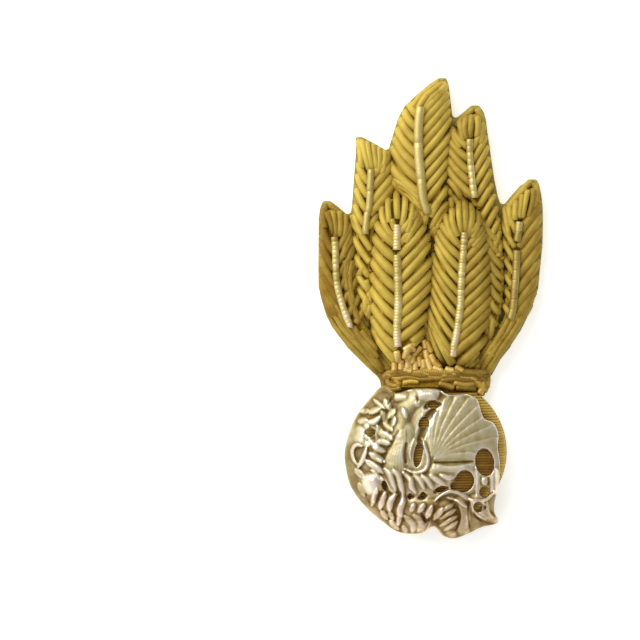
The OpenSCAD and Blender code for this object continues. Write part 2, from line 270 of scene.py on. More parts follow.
def run_of(steps):
    """How far along a line each of its points lies, from the steps between them."""
    return np.concatenate([[0], np.cumsum(np.linalg.norm(steps, axis=1))])


def unit(ways):
    return ways / np.linalg.norm(ways, axis=1)[:, None]


def ease(v):
    return np.sin(np.pi / 2 * np.clip(v, 0, 1))


class Tongue:
    """A tongue as the frame gives it: its outline, its vein's line and its height, for laying purl on it."""

    SAMPLES = 90  # cuts across it
    END_SHARE = 0.004  # of its length, left out at each end, where a cut is hardly more than a point
    VEIN_END = 0.3 * MM  # likewise at each end of its vein
    END_H = 0.9 * MM  # height of its padding at both ends
    RAMP = 2.4 * MM  # length over which the padding rises from there to its crown
    SIDE_SHARE = 0.45  # height at the outline as a share of the height at the middle
    ROUND = 2.6  # power of the curve between them
    GROOVE_DEPTH = 0.16  # of the height, under the vein
    GROOVE_SHARE = 0.5  # of the way to the outline, where the groove ends
    LEAST_ROOM = 0.1 * MM  # from the vein to the outline, taken where there is less

    def __init__(self, flame):
        self.node, self.vein_node = "tongue_" + flame, "vein_" + flame
        low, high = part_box(self.node)
        self.foot, self.tip, self.base = low.y, high.y, low.z
        self.crown = high.z - low.z
        self.length = self.tip - self.foot
        inside = self.END_SHARE * self.length
        self.ys = np.linspace(self.foot + inside, self.tip - inside, self.SAMPLES)
        edges, strand = edges_of(self.node), edges_of(self.vein_node)
        cuts = [cut_across(edges, y)[:, 0] for y in self.ys]
        self.left = np.array([c.min() for c in cuts])
        self.right = np.array([c.max() for c in cuts])
        vein_low, vein_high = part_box(self.vein_node)
        self.vein_foot, self.vein_top = vein_low.y, vein_high.y
        strand_ys = np.linspace(self.vein_foot + self.VEIN_END, self.vein_top - self.VEIN_END, self.SAMPLES)
        self.strand = np.array([cut_across(strand, y).mean(0) for y in strand_ys])
        self.line_ys = np.concatenate([[self.foot], strand_ys, [self.tip]])
        self.line = np.concatenate([[self.middle(self.foot)], self.strand[:, 0], [self.middle(self.tip)]])

    def middle(self, y):
        return (np.interp(y, self.ys, self.left) + np.interp(y, self.ys, self.right)) / 2

    def vein(self, y):
        return np.interp(y, self.line_ys, self.line)

    def edge(self, y, side):
        return np.interp(y, self.ys, self.left if side < 0 else self.right)

    def holds(self, x, y):
        """True where a point lies inside the outline."""
        return self.foot < y < self.tip and self.edge(y, -1) < x < self.edge(y, 1)

    def height(self, x, y):
        """Height over the felt of the dressed surface."""
        from_vein = x - self.vein(y)
        room = np.where(from_vein < 0, self.vein(y) - self.edge(y, -1), self.edge(y, 1) - self.vein(y))
        out = np.clip(np.abs(from_vein) / np.maximum(room, self.LEAST_ROOM), 0, 1)
        from_end = np.minimum(y - self.foot, self.tip - y)
        swell = self.END_H + (self.crown - self.END_H) * ease(from_end / self.RAMP)
        across = self.SIDE_SHARE + (1 - self.SIDE_SHARE) * np.sqrt(1 - out ** self.ROUND)
        groove = self.GROOVE_DEPTH * np.clip(1 - out / self.GROOVE_SHARE, 0, 1) ** 2
        above_vein = np.clip((y - self.vein_top) / MM, 0, 1)
        return swell * (across - groove * (1 - above_vein))


def round_blank(name, sides, cuts, cap, taper=0.6):
    """A straight rod of radius 1 from 0 to 1 along Z, with ends of the cap's depth and the taper's radius."""
    deselect()
    bpy.ops.mesh.primitive_cylinder_add(vertices=sides, radius=1, depth=1, location=(0, 0, 0.5))
    blank = bpy.context.object
    blank.name = name
    bpy.ops.object.transform_apply(location=True)
    bpy.ops.object.mode_set(mode="EDIT")
    for end in (-1, 1):
        select_faces(blank, lambda face: face.normal.z * end > 0.9)
        bpy.ops.mesh.extrude_region_move(TRANSFORM_OT_translate={"value": (0, 0, end * cap)})
        bpy.ops.transform.resize(value=(taper, taper, 1))
    for cut in range(1, cuts):
        bpy.ops.mesh.select_all(action="SELECT")
        bpy.ops.mesh.bisect(plane_co=(0, 0, cut / cuts), plane_no=(0, 0, 1))
    bpy.ops.object.mode_set(mode="OBJECT")
    return blank


def remove(piece):
    bpy.data.objects.remove(piece)


# How far ahead and behind, as a share of its route, a strand's direction is taken from
AIM = 0.07


def lay(blank, route, radius, across=None, turn=0.0, tone=0.5, steep=1.0):
    """A copy of a straight blank, bent along a route of points and turned about it.

    Across is the way that its sides face, or level if it isn't given. A steep over 1 crowds its points where
    the route climbs or falls. It keeps its tone, and how far along the route each point lies, in millimetres.
    """
    local = points_of(blank.data)
    route = np.asarray(route, float)
    steps = np.diff(route, axis=0)
    run, crowd = run_of(steps), run_of(steps * (1, 1, steep))
    crowd /= crowd[-1]
    share = np.clip(local[:, 2], 0, 1)

    def place(at):
        return np.column_stack([np.interp(np.clip(at, 0, 1), crowd, c) for c in route.T])

    ahead = unit(place(share + AIM) - place(share - AIM))
    side = np.cross(ahead, (0, 0, 1)) if across is None else np.broadcast_to(across, ahead.shape)
    side = unit(side - (side * ahead).sum(1)[:, None] * ahead)
    up = np.cross(side, ahead)
    x = local[:, 0] * math.cos(turn) - local[:, 1] * math.sin(turn)
    y = local[:, 0] * math.sin(turn) + local[:, 1] * math.cos(turn)
    beyond = (local[:, 2] - share) * radius
    points = place(share) + (radius * x)[:, None] * side + (radius * y)[:, None] * up
    points += beyond[:, None] * ahead
    mesh = blank.data.copy()
    put_points(mesh, points)
    keep_value(mesh, "along", np.interp(share, crowd, run) / MM)
    keep_value(mesh, "tone", tone)
    return new_object(blank.name, mesh)


def curve_through(control, steps=6):
    """A smooth curve through the control points, with some steps from each to the next."""
    p = np.asarray(control, float)
    p = np.vstack([2 * p[0] - p[1], p, 2 * p[-1] - p[-2]])
    t = np.linspace(0, 1, steps, endpoint=False)[:, None]
    parts = [
        (2 * b + (c - a) * t + (2 * a - 5 * b + 4 * c - d) * t ** 2 + (3 * b - a - 3 * c + d) * t ** 3) / 2
        for a, b, c, d in zip(p, p[1:], p[2:], p[3:])
    ]
    return np.vstack(parts + [p[-2:-1]])


def set_inputs(node, inputs):
    """Links each input that is given as a socket, and sets each of the others."""
    for key, value in inputs.items():
        if isinstance(value, bpy.types.NodeSocket):
            node.id_data.links.new(value, node.inputs[key])
        else:
            node.inputs[key].default_value = value


def add_node(tree, kind, inputs=None, out=0, stops=(), **settings):
    """Adds a node with its settings and links, and gives one of its outputs.

    Stops are a colour ramp's, each a place and a linear colour.
    """
    node = tree.nodes.new("ShaderNode" + kind)
    for key, value in settings.items():
        setattr(node, key, value)
    for i, (place, colour) in enumerate(stops):
        elements = node.color_ramp.elements
        stop = elements[i] if i < 2 else elements.new(place)
        stop.position, stop.color = place, colour
    set_inputs(node, inputs or {})
    return node.outputs[out]


def new_material(name, metallic, roughness):
    """A Principled material, with its node tree, its shader and the place that its patterns keep to."""
    material = bpy.data.materials.new(name)
    material.use_nodes = True
    tree = material.node_tree
    shader = tree.nodes["Principled BSDF"]
    set_inputs(shader, {"Metallic": metallic, "Roughness": roughness})
    return material, tree, shader, add_node(tree, "TexCoord", out="Object")


def toned(colour, share):
    """A linear colour made darker or lighter."""
    return tuple(min(1.0, share * c) for c in colour[:3]) + (1.0,)


def gilt_purl_material(name, bright, dull, wire, roughness):
    """Gilt brass wire wound into a close soft coil: satin, warm where it turns away, finely ringed across.

    The rings are drawn about twice as wide as the real wire, which is too fine to show.
    """
    cloud_size, cloud_strength, ring_depth = 1.8 * MM, 0.8, 0.01 * MM
    material, tree, shader, place = new_material(name, 0.5, roughness)
    tone = add_node(tree, "Attribute", out="Fac", attribute_name="tone")
    cloud = add_node(tree, "TexNoise", {"Vector": place, "Scale": 1 / cloud_size})
    cloud = add_node(tree, "Math", {0: cloud, 1: 0.5}, operation="SUBTRACT")
    cloud = add_node(tree, "Math", {0: cloud, 1: cloud_strength}, operation="MULTIPLY")
    shade = add_node(tree, "Math", {0: tone, 1: cloud}, operation="ADD")
    along = add_node(tree, "Attribute", out="Fac", attribute_name="along")
    rings = add_node(tree, "Math", {0: along, 1: 2 * math.pi * MM / wire}, operation="MULTIPLY")
    rings = add_node(tree, "Math", {0: rings}, operation="SINE")
    set_inputs(shader, {
        "Base Color": add_node(tree, "ValToRGB", {"Fac": shade}, stops=[(0.0, dull), (1.0, bright)]),
        "Normal": add_node(tree, "Bump", {"Height": rings, "Distance": ring_depth}),
    })
    return material


def check_purl_material(dull, pale, rosy_glint):
    """Rough purl, wound on a square needle. Its glitter is painted: each turn's tone picks a colour from dull
    gilt, as painted shade, through pale gilt to pale and rosy painted glints, and a fine bump breaks it up.
    """
    facet_size, facet_depth = 0.2 * MM, 0.03 * MM
    material, tree, shader, place = new_material("Bright check purl", 0.7, 0.46)
    tone = add_node(tree, "Attribute", out="Fac", attribute_name="tone")
    facets = add_node(tree, "TexNoise", {"Vector": place, "Scale": 1 / facet_size})
    # The upper stops are painted glints
    gilts = [(0.1, dull), (0.5, pale), (0.85, srgb("#E8D6A4")), (1.0, rosy_glint)]
    set_inputs(shader, {
        "Base Color": add_node(tree, "ValToRGB", {"Fac": tone}, stops=gilts),
        "Normal": add_node(tree, "Bump", {"Height": facets, "Distance": facet_depth}),
    })
    return material


def wool_felt_material(name, colour, fibre):
    """Milled wool felt: matt, with a soft halo of fibres and short tufts that catch the light."""
    tuft_depth = 0.12 * MM
    material, tree, shader, place = new_material(name, 0.0, 0.95)
    tufts = add_node(tree, "TexNoise", {"Vector": place, "Scale": 1 / fibre, "Detail": 6.0})
    wools = [(0.3, toned(colour, 0.7)), (0.7, toned(colour, 1.25))]
    set_inputs(shader, {
        "Base Color": add_node(tree, "ValToRGB", {"Fac": tufts}, stops=wools),
        "Sheen Weight": 0.4,
        "Sheen Roughness": 0.5,
        "Sheen Tint": colour,
        "Specular IOR Level": 0.2,
        "Normal": add_node(tree, "Bump", {"Height": tufts, "Distance": tuft_depth}),
    })
    return material


# The sockets of a Mix node that mixes colours. Its names stand for several sockets each
MIX_SHARE, MIX_A, MIX_B, MIX_OUT = 0, 6, 7, 2


def silver_material(bright, tarnish_and_shade):
    """Cast white metal, silver plated: warm and satin on the raised relief, which is painted lighter, partly
    as a painted highlight on its ridges; brown in the hollows, partly tarnished and partly painted shade.

    Towards the foot of the badge it turns a little rosier.
    """
    cloud_size, pit_size, pit_depth = 1.2 * MM, 0.8 * MM, 0.12 * MM
    rosy_from, rosy_to = -22 * MM, -29 * MM
    satin, bright_satin = (0.6, 0.6, 0.6, 1), (0.3, 0.3, 0.3, 1)
    material, tree, shader, place = new_material("Silver plated casting", 0.9, 0.45)
    lift = add_node(tree, "Attribute", out="Fac", attribute_name="lift")
    ridge = add_node(tree, "Attribute", out="Fac", attribute_name="ridge")
    cloud = add_node(tree, "TexNoise", {"Vector": place, "Scale": 1 / cloud_size, "Detail": 3.0})
    cloud = add_node(tree, "Math", {0: cloud, 1: 0.5}, operation="SUBTRACT")
    cloud = add_node(tree, "Math", {0: cloud, 1: 0.5}, operation="MULTIPLY")
    # Raised and ridged places are painted lighter, partly as painted highlight; hollows darker, tarnished and
    # painted shade
    wear_and_light = add_node(tree, "Math", {0: lift, 1: 1.5}, operation="MULTIPLY")
    ridge = add_node(tree, "Math", {0: ridge, 1: 2.5}, operation="MULTIPLY")
    for more in (cloud, ridge, 0.5):
        wear_and_light = add_node(tree, "Math", {0: wear_and_light, 1: more}, operation="ADD")
    silvers = [(0.0, tarnish_and_shade), (0.26, srgb("#968357")), (0.5, srgb("#BFB284")), (0.95, bright)]
    silver = add_node(tree, "ValToRGB", {"Fac": wear_and_light}, stops=silvers)
    up = add_node(tree, "SeparateXYZ", {"Vector": place}, out="Y")
    # Rosier towards the foot of the badge
    rosiness = add_node(tree, "MapRange", {"Value": up, "From Min": rosy_from, "From Max": rosy_to})
    pits = add_node(tree, "TexNoise", {"Vector": place, "Scale": 1 / pit_size, "Detail": 5.0})
    set_inputs(shader, {
        "Base Color": add_node(tree, "Mix", {MIX_SHARE: rosiness, MIX_A: silver, MIX_B: srgb("#FFF0EA")},
                               out=MIX_OUT, data_type="RGBA", blend_type="MULTIPLY"),
        "Roughness": add_node(tree, "ValToRGB", {"Fac": wear_and_light}, stops=[(0.3, satin), (0.85, bright_satin)]),
        "Normal": add_node(tree, "Bump", {"Height": pits, "Distance": pit_depth}),
    })
    return material


def light_table_material(colour, glow):
    """Opal acrylic of a light table: matt and even, lit faintly from below, which keeps the shadows pale."""
    grain_size, grain_depth = 0.8 * MM, 0.01 * MM
    material, tree, shader, place = new_material("Opal acrylic", 0.0, 0.9)
    grain = add_node(tree, "TexNoise", {"Vector": place, "Scale": 1 / grain_size, "Detail": 3.0})
    whites = [(0.35, toned(colour, 0.985)), (0.65, colour)]
    set_inputs(shader, {
        "Base Color": add_node(tree, "ValToRGB", {"Fac": grain}, stops=whites),
        "Emission Color": colour,
        "Emission Strength": glow,
        "Normal": add_node(tree, "Bump", {"Height": grain, "Distance": grain_depth}),
    })
    return material


class BADGE_OT_backing(bpy.types.Operator):
    """Cut the felt backing"""

    bl_idname = "badge.backing"
    bl_label = "Felt backing"

    def execute(self, context):
        felt = props("felt")
        piece = copy_of_node("felt_backing", "backing")
        bpy.ops.object.mode_set(mode="EDIT")
        bpy.ops.mesh.select_all(action="SELECT")
        bpy.ops.mesh.dissolve_limited(angle_limit=math.radians(1))
        bpy.ops.object.mode_set(mode="OBJECT")
        apply_modifier(piece, "BEVEL", width=felt.round_over, segments=3, limit_method="ANGLE",
                       angle_limit=math.radians(60))
        material = wool_felt_material("Olive wool felt", tuple(felt.colour), felt.fibre)
        dress(piece, material, ["backing"], smooth=False)
        bpy.ops.object.shade_smooth_by_angle(angle=math.radians(40))
        return {"FINISHED"}


def pad_of(name, node, material, voxel, inset):
    """A pad: the node's shape, softened and shrunk by the inset, and still standing on the felt."""
    piece = copy_of_node(name, node)
    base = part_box(node)[0].z
    apply_modifier(piece, "REMESH", mode="VOXEL", voxel_size=voxel)
    apply_modifier(piece, "SMOOTH", factor=0.5, iterations=8)
    apply_modifier(piece, "DISPLACE", strength=-inset, mid_level=0.0)
    points = points_of(piece.data)
    points[points[:, 2] < base + inset + voxel, 2] = base
    put_points(piece.data, points)
    dress(piece, material, [node])
    return piece


class BADGE_OT_pads(bpy.types.Operator):
    """Pad the tongues under their purl"""

    bl_idname = "badge.pads"
    bl_label = "Tongue pads"

    def execute(self, context):
        material = wool_felt_material("Gold wool padding", srgb("#A88A28"), props("felt").fibre)
        for flame in FLAMES:
            pad_of("pad_" + flame, "tongue_" + flame, material, voxel=0.3 * MM, inset=0.55 * MM)
        return {"FINISHED"}


# How each tongue is worked. The distance up the badge from one purl to the next on the left and on the right,
# in millimetres; the lean of the left purl to the vein at the tongue's foot and at its top, and then that of
# the right purl, in degrees; the height on the badge in millimetres below which the left and the right have
# no row; the side whose purl fills the tongue below its vein, or 0; and how bright the gilt is on the left
# and on the right, partly as painted shade: a side that lies in shade is given duller gilt
WORKING = {
    "far_left": ((2.3, 1.85), (34, 24), (30, 26), (-1.6, -2.4), 0, (0.0, 0.25)),
    "left": ((1.85, 1.85), (28, 30), (30, 36), (-1.5, -1.5), -1, (0.9, 0.75)),
    "centre": ((1.8, 1.56), (46, 34), (30, 44), (-20, -20), 1, (0.76, 0.68)),
    "right": ((1.64, 1.64), (34, 38), (32, 30), (-2.6, -2.6), -1, (0.45, 0.62)),
    "far_right": ((1.9, 2.08), (26, 22), (40, 36), (-1.8, -2.5), 0, (0.58, 0.27)),
    "front_left": ((2.05, 1.6), (33, 38), (48, 36), (-20, -5.2), 0, (0.7, 0.66)),
    "front_right": ((1.6, 1.55), (24, 38), (45, 36), (-20, -20), 0, (0.62, 0.36)),
}
# How strongly a purl's outer end swings up, on the left and on the right
SWING = {-1: 1.5, 1: 1.2}
# Tongues whose pad would show from the side at the tip, or at the foot on the side given here. Purl on the
# felt hides it: at a tip it runs this far down both sides, and at a foot it starts this high on the badge
HEMMED_TIPS = ("far_left", "centre", "right", "far_right")
HEMMED_FEET = {"far_left": -1, "far_right": 1}
HEM_LENGTH = 2.6 * MM
HEM_TOP = -1.5 * MM
# Purl laid one by one at the tips and feet, where it follows no row: the points that each runs through, in
# millimetres
HAND_LAID = {
    "far_left": [
        [(-15.0, 13.4), (-14.7, 11.2)], [(-14.4, 13.0), (-13.9, 11.9), (-13.5, 10.4)],
        [(-13.6, 13.2), (-13.4, 12.1), (-13.2, 10.0)], [(-12.7, 13.0), (-12.6, 11.6), (-12.6, 10.0)],
        [(-11.9, 12.6), (-11.9, 11.2), (-12.1, 9.7)],
        [(-11.2, 11.5), (-11.4, 10.0), (-11.9, 8.5), (-12.2, 7.1)],
        [(-10.4, 9.4), (-11.2, 7.8), (-11.6, 6.1), (-11.8, 4.4)],
        [(-11.1, 6.4), (-11.4, 4.4), (-11.2, 2.5), (-10.9, 0.7)],
        [(-11.9, 6.4), (-11.9, 4.4), (-11.6, 2.5)],
        [(-11.4, 2.2), (-11.1, 0.8), (-10.5, -0.7), (-10.0, -1.9)],
        [(-14.6, 0.8), (-13.9, -1.4), (-12.7, -3.3), (-11.2, -5.1), (-9.8, -6.6), (-8.6, -7.8), (-7.4, -8.9)],
        [(-13.9, 0.7), (-13.1, -1.4), (-11.9, -3.2), (-10.5, -4.8), (-9.1, -6.3), (-7.8, -7.8), (-6.8, -8.7)],
        [(-13.2, 0.3), (-12.3, -1.5), (-11.2, -3.3), (-9.8, -5.1), (-8.3, -6.5), (-6.9, -8.2)],
        [(-12.4, -0.1), (-11.5, -1.9), (-10.4, -3.6), (-9.1, -5.3), (-7.8, -6.8)],
        [(-10.7, -2.8), (-9.7, -4.2), (-8.6, -5.4), (-7.5, -6.8)],
        [(-9.6, -3.3), (-8.6, -4.6), (-7.6, -5.8)], [(-10.9, -4.0), (-10.4, -4.8), (-9.8, -5.5)],
    ],
    "left": [
        [(-10.0, 23.0), (-9.8, 21.6), (-9.6, 19.5)], [(-9.6, 22.9), (-9.1, 21.1), (-8.6, 19.3)],
        [(-8.9, 22.7), (-8.6, 21.2), (-8.2, 19.3)], [(-8.0, 22.4), (-7.8, 21.1), (-7.5, 19.3)],
        [(-7.3, 21.9), (-7.2, 20.8), (-7.3, 19.1)], [(-6.5, 21.5), (-6.5, 20.5), (-6.8, 18.8)],
        [(-10.1, 6.2), (-10.7, 5.0), (-10.8, 3.5)], [(-9.4, 5.5), (-10.3, 4.0), (-10.4, 2.2)],
        [(-9.0, 3.7), (-8.6, 2.4), (-8.5, 0.6)], [(-8.5, 0.3), (-8.7, -1.0), (-8.9, -2.4)],
        [(-9.8, 1.9), (-9.8, 0.3), (-9.4, -1.4), (-9.0, -2.5)], [(-9.1, 1.5), (-9.1, 0.6), (-9.1, -0.6)],
        [(-9.2, -2.4), (-9.2, -3.7)], [(-8.1, -3.2), (-8.1, -5.5)],
        [(-8.0, -5.7), (-7.2, -7.1), (-6.2, -8.0)], [(-7.5, -5.1), (-6.8, -6.4), (-5.8, -7.5)],
        [(-6.5, -8.2), (-5.5, -8.7)], [(-6.2, -7.1), (-5.5, -7.9), (-4.7, -8.5)],
        [(-5.5, 16.2), (-6.5, 15.1), (-7.5, 13.7)],
    ],
    "centre": [
        [(1.4, 31.0), (0.4, 30.2), (-0.6, 29.5)], [(1.4, 30.1), (0.1, 29.1), (-0.8, 27.8)],
        [(0.0, 30.5), (-1.0, 29.8), (-1.9, 28.8), (-2.6, 27.8)], [(-4.4, 17.0), (-3.0, 16.1), (-1.5, 13.7)],
        [(-4.8, 17.7), (-3.2, 16.6), (-1.7, 15.0)], [(-3.3, 15.4), (-2.2, 14.4), (-1.4, 12.9)],
        [(-0.6, 29.5), (-1.2, 28.7), (-1.8, 27.7)], [(1.9, 15.9), (1.0, 14.7), (0.0, 12.7)],
        [(2.1, 14.4), (1.0, 13.0), (0.1, 11.1)], [(1.4, 12.3), (0.7, 11.2), (0.4, 10.1)],
        [(-0.3, 14.3), (-0.6, 13.0), (-1.0, 11.6)], [(-1.0, 14.3), (-1.1, 13.0), (-1.4, 11.9)],
    ],
    "right": [
        [(5.6, 26.5), (5.5, 25.2), (5.4, 23.7)], [(4.8, 26.2), (4.6, 24.9), (4.8, 23.6)],
        [(4.0, 25.6), (4.2, 24.5), (4.4, 23.3)], [(3.2, 24.5), (3.3, 23.4), (4.0, 22.3)],
        [(6.4, 26.3), (6.5, 25.2), (6.4, 23.8)], [(7.1, 25.5), (7.1, 24.1), (6.8, 22.9)],
        [(2.5, 17.7), (3.5, 16.5), (4.4, 15.2), (5.4, 14.0)], [(2.5, 16.3), (3.3, 15.4), (4.0, 14.3)],
        [(2.8, 15.2), (2.9, 13.9)], [(8.3, 16.9), (7.6, 15.7), (6.8, 14.3)],
        [(8.7, 15.4), (7.9, 14.0), (7.1, 12.6)], [(9.0, 13.7), (8.3, 12.3), (7.6, 11.1)],
        [(9.3, 12.1), (8.7, 10.7), (8.2, 9.6)], [(9.5, 10.5), (9.1, 9.3), (8.7, 8.2)],
        [(9.6, 9.0), (9.5, 8.0), (9.3, 7.2)], [(7.8, -1.9), (7.8, -3.6), (7.3, -5.3)],
        [(8.5, -1.7), (8.3, -3.5), (8.0, -5.1)], [(7.8, -4.4), (7.2, -6.0), (6.2, -7.5)],
        [(8.3, -5.1), (7.5, -6.8), (6.4, -8.3)],
    ],
    "far_right": [
        [(13.7, 17.4), (12.6, 16.3), (11.6, 15.2)], [(13.0, 16.5), (11.9, 15.4), (10.9, 14.1)],
        [(11.8, 14.8), (11.7, 13.6), (11.6, 12.3)], [(10.9, 14.1), (10.9, 12.9), (11.1, 11.4)],
        [(12.6, 15.5), (12.5, 14.1), (12.3, 12.6)], [(13.4, 16.1), (13.0, 14.4), (12.7, 12.6)],
        [(14.2, 16.3), (14.1, 14.7), (13.6, 12.7)], [(10.3, 13.6), (10.5, 11.9), (10.8, 10.0)],
        [(14.7, 16.9), (14.7, 15.5), (14.3, 14.0)],
        [(12.9, -0.6), (11.8, -2.6), (10.7, -4.4), (9.4, -6.2), (8.6, -7.5), (8.0, -8.9)],
        [(11.9, -0.8), (10.9, -2.8), (9.8, -4.4), (8.7, -6.0), (7.8, -7.3), (7.2, -8.7)],
        [(10.7, -1.7), (9.8, -3.3), (8.9, -4.8), (7.8, -6.2), (6.8, -7.8)],
        [(9.4, -2.5), (8.7, -4.2), (7.8, -5.5), (6.6, -7.1)], [(10.5, -2.5), (9.6, -2.6)],
        [(10.7, -3.5), (9.6, -3.5)], [(10.0, -4.4), (9.0, -4.4)], [(9.4, -5.4), (8.5, -5.3)],
        [(8.6, -6.5), (7.8, -6.2)],
    ],
    "front_left": [
        [(-4.8, 16.2), (-4.8, 14.4), (-4.7, 12.5)], [(-3.6, 15.5), (-3.7, 13.7), (-4.0, 11.5)],
        [(-2.7, 14.3), (-2.8, 12.6), (-3.3, 10.5)], [(-5.9, 15.4), (-6.0, 13.7), (-5.8, 11.9)],
        [(-6.7, 14.4), (-6.8, 12.7), (-6.1, 10.8), (-5.1, 9.7)], [(-1.8, 13.0), (-2.4, 11.1), (-3.5, 9.1)],
        [(-5.5, 12.1), (-5.1, 10.9)], [(-2.8, -5.4), (-1.9, -4.6), (-1.0, -3.8)],
    ],
    "front_right": [
        [(3.9, 14.5), (3.8, 12.9), (4.1, 10.5)], [(4.7, 14.8), (4.7, 13.0), (4.8, 10.4)],
        [(5.5, 14.3), (5.6, 12.6), (5.3, 10.3)], [(2.9, 13.4), (2.9, 11.8), (3.6, 10.0)],
        [(2.1, 12.6), (2.4, 10.8), (3.6, 8.9)], [(6.4, 13.4), (6.4, 11.6), (5.8, 9.7)],
        [(7.2, 12.3), (7.1, 10.5), (5.8, 8.5)], [(-1.0, -1.4), (-0.6, -2.6), (0.0, -3.9)],
        [(-0.8, -2.6), (-0.4, -4.0), (0.3, -5.5)], [(-0.7, -4.2), (-0.3, -5.5), (0.4, -6.9)],
        [(-0.1, -5.8), (0.3, -7.1), (1.0, -8.2)], [(3.7, -8.7), (5.1, -7.6), (6.4, -6.1)],
        [(4.6, -9.0), (5.7, -8.1), (6.6, -6.9)],
    ],
}


def purl_route(tongue, plan, r):
    """The middle of a purl over points of its plan, its upper side at the height of the dressed tongue."""
    z = tongue.base + np.maximum(tongue.height(plan[:, 0], plan[:, 1]) - r, 0.5 * r)
    return np.column_stack([plan, z])


class BADGE_OT_purl(bpy.types.Operator):
    """Lay the gold purl over the tongues"""

    bl_idname = "badge.purl"
    bl_label = "Gold purl"

    SEED = 11  # picks how the purl strays
    TONES = 0.24  # by how much the brightest purl of a side is brighter than its dullest
    ROWS_BELOW = 4.5  # rows begun below the foot, because they lean and still cross the tongue
    CLIMB = 0.8  # of the way to the tip, the most that a purl rises
    NEAR = 0.8 * MM  # from one tongue to the next, where the purl runs on to meet it
    OVER, SHORT = 0.2, 0.5  # of its half width, how far it then passes the outline, or else ends before it
    CUT = 0.6  # of its half width, how far above the cut at the foot a purl starts
    FILLER_TOP = 3.6 * MM  # above the vein's foot, as high as the purl that fills the tongue below it reaches
    SHORTEST = 0.2 * MM  # across the tongue; no purl is shorter
    FOLD = 0.4  # of its half width, the height over the felt at which a purl's end is folded under

    def execute(self, context):
        purl = props("purl")
        material = gilt_purl_material("Gilt purl", tuple(purl.colour), tuple(purl.dull), purl.wire, 0.68)
        self.blank = round_blank("purl", sides=7, cuts=8, cap=0.35, taper=0.75)
        self.draw = np.random.default_rng(self.SEED)
        self.tongues = {flame: Tongue(flame) for flame in FLAMES}
        for flame, tongue in self.tongues.items():
            # The last column is partly painted shade: duller gilt on the side of a tongue that lies in shade
            pitches, *leans, lowest, filler, gilt_and_side_shade = WORKING[flame]
            pieces = []
            for side, pitch, lean, bottom, bright in zip((-1, 1), pitches, leans, lowest, gilt_and_side_shade):
                lean, bottom = np.radians(lean), bottom * MM
                pieces += self.herringbone(tongue, side, pitch * MM, lean, bottom, filler, bright)
            for points in HAND_LAID[flame]:
                x, y = np.mean(points, axis=0) * MM
                on_right = x > tongue.vein(y) or y < tongue.vein_foot
                pieces.append(self.laid_by_hand(tongue, points, gilt_and_side_shade[int(on_right)]))
            pieces += self.hems(flame, tongue, gilt_and_side_shade)
            dress(join(pieces, "purl_" + flame), material, [tongue.node])
        remove(self.blank)
        return {"FINISHED"}

    def herringbone(self, tongue, side, pitch, leans, bottom, filler, bright):
        """The purl on one side of a vein, up to its top. Below the vein the filler's side goes right across.

        A row that starts below the tongue's foot or the bottom is cut there.
        """
        purl, draw = props("purl"), self.draw
        pieces = []
        bottom = max(bottom, tongue.foot)
        y0 = tongue.foot - self.ROWS_BELOW * pitch
        while y0 < tongue.vein_top - 0.5 * pitch:
            lean = np.interp(y0, [tongue.foot, tongue.vein_top], leans)
            r = max(purl.thin / 2, purl.fill * pitch * math.sin(lean) / 2)
            start = tongue.vein(y0) + side * purl.tuck
            below = filler and y0 < tongue.vein_foot
            if below:
                start = tongue.edge(y0, -side) + side * r
            ys = np.linspace(y0, tongue.tip, 150)
            inside = (tongue.edge(ys, side) - start) * side > (ys - y0) * math.tan(lean)
            inside &= (ys > bottom + self.CUT * r) | (y0 > bottom)
            first = inside.argmax()
            last = first + (~inside[first:]).argmax()
            y1 = min(ys[last], y0 + self.CLIMB * (tongue.tip - y0)) + draw.uniform(-1, 1) * purl.stray
            outline = tongue.edge(y1, side)
            meets = any(other.holds(outline + side * self.NEAR, y1) for other in self.tongues.values())
            end = outline + side * r * (self.OVER if meets else -self.SHORT)
            e = np.linspace(0, 1, 30)
            plan = np.column_stack([start + (end - start) * (1 - (1 - e) ** SWING[side]), y0 + (y1 - y0) * e])
            plan = plan[plan[:, 1] >= ys[first]]
            left_out = below and (filler != side or y1 > tongue.vein_foot + self.FILLER_TOP)
            if last > first and len(plan) > 5 and not left_out and (end - start) * side > self.SHORTEST:
                route = np.vstack([purl_route(tongue, plan, r), (*plan[-1], tongue.base + self.FOLD * r)])
                across = (y0 - y1, end - start, 0)
                tone = bright + self.TONES * draw.uniform()
                pieces.append(lay(self.blank, route, r, across=across, tone=tone, steep=2.5))
            y0 += pitch + draw.uniform(-1, 1) * purl.stray
        return pieces

    def laid_by_hand(self, tongue, points, bright):
        """A purl through its own points. Near the tongue's outline its end goes down the pad's side."""
        r = props("purl").by_hand / 2
        plan = curve_through(points) * MM
        route = purl_route(tongue, plan, r)
        for end, inner in ((0, 1), (-1, -2)):
            onward = r * (plan[end] - plan[inner]) / np.linalg.norm(plan[end] - plan[inner])
            if not tongue.holds(*(plan[end] + 2.2 * onward)):
                fold = (*(plan[end] + 0.25 * onward), tongue.base + self.FOLD * r)
                route = np.vstack([fold, route] if end == 0 else [route, fold])
        radius = r * self.draw.uniform(0.92, 1.05)
        tone = bright + self.TONES * self.draw.uniform()
        return lay(self.blank, route, radius, tone=tone, steep=2.0)

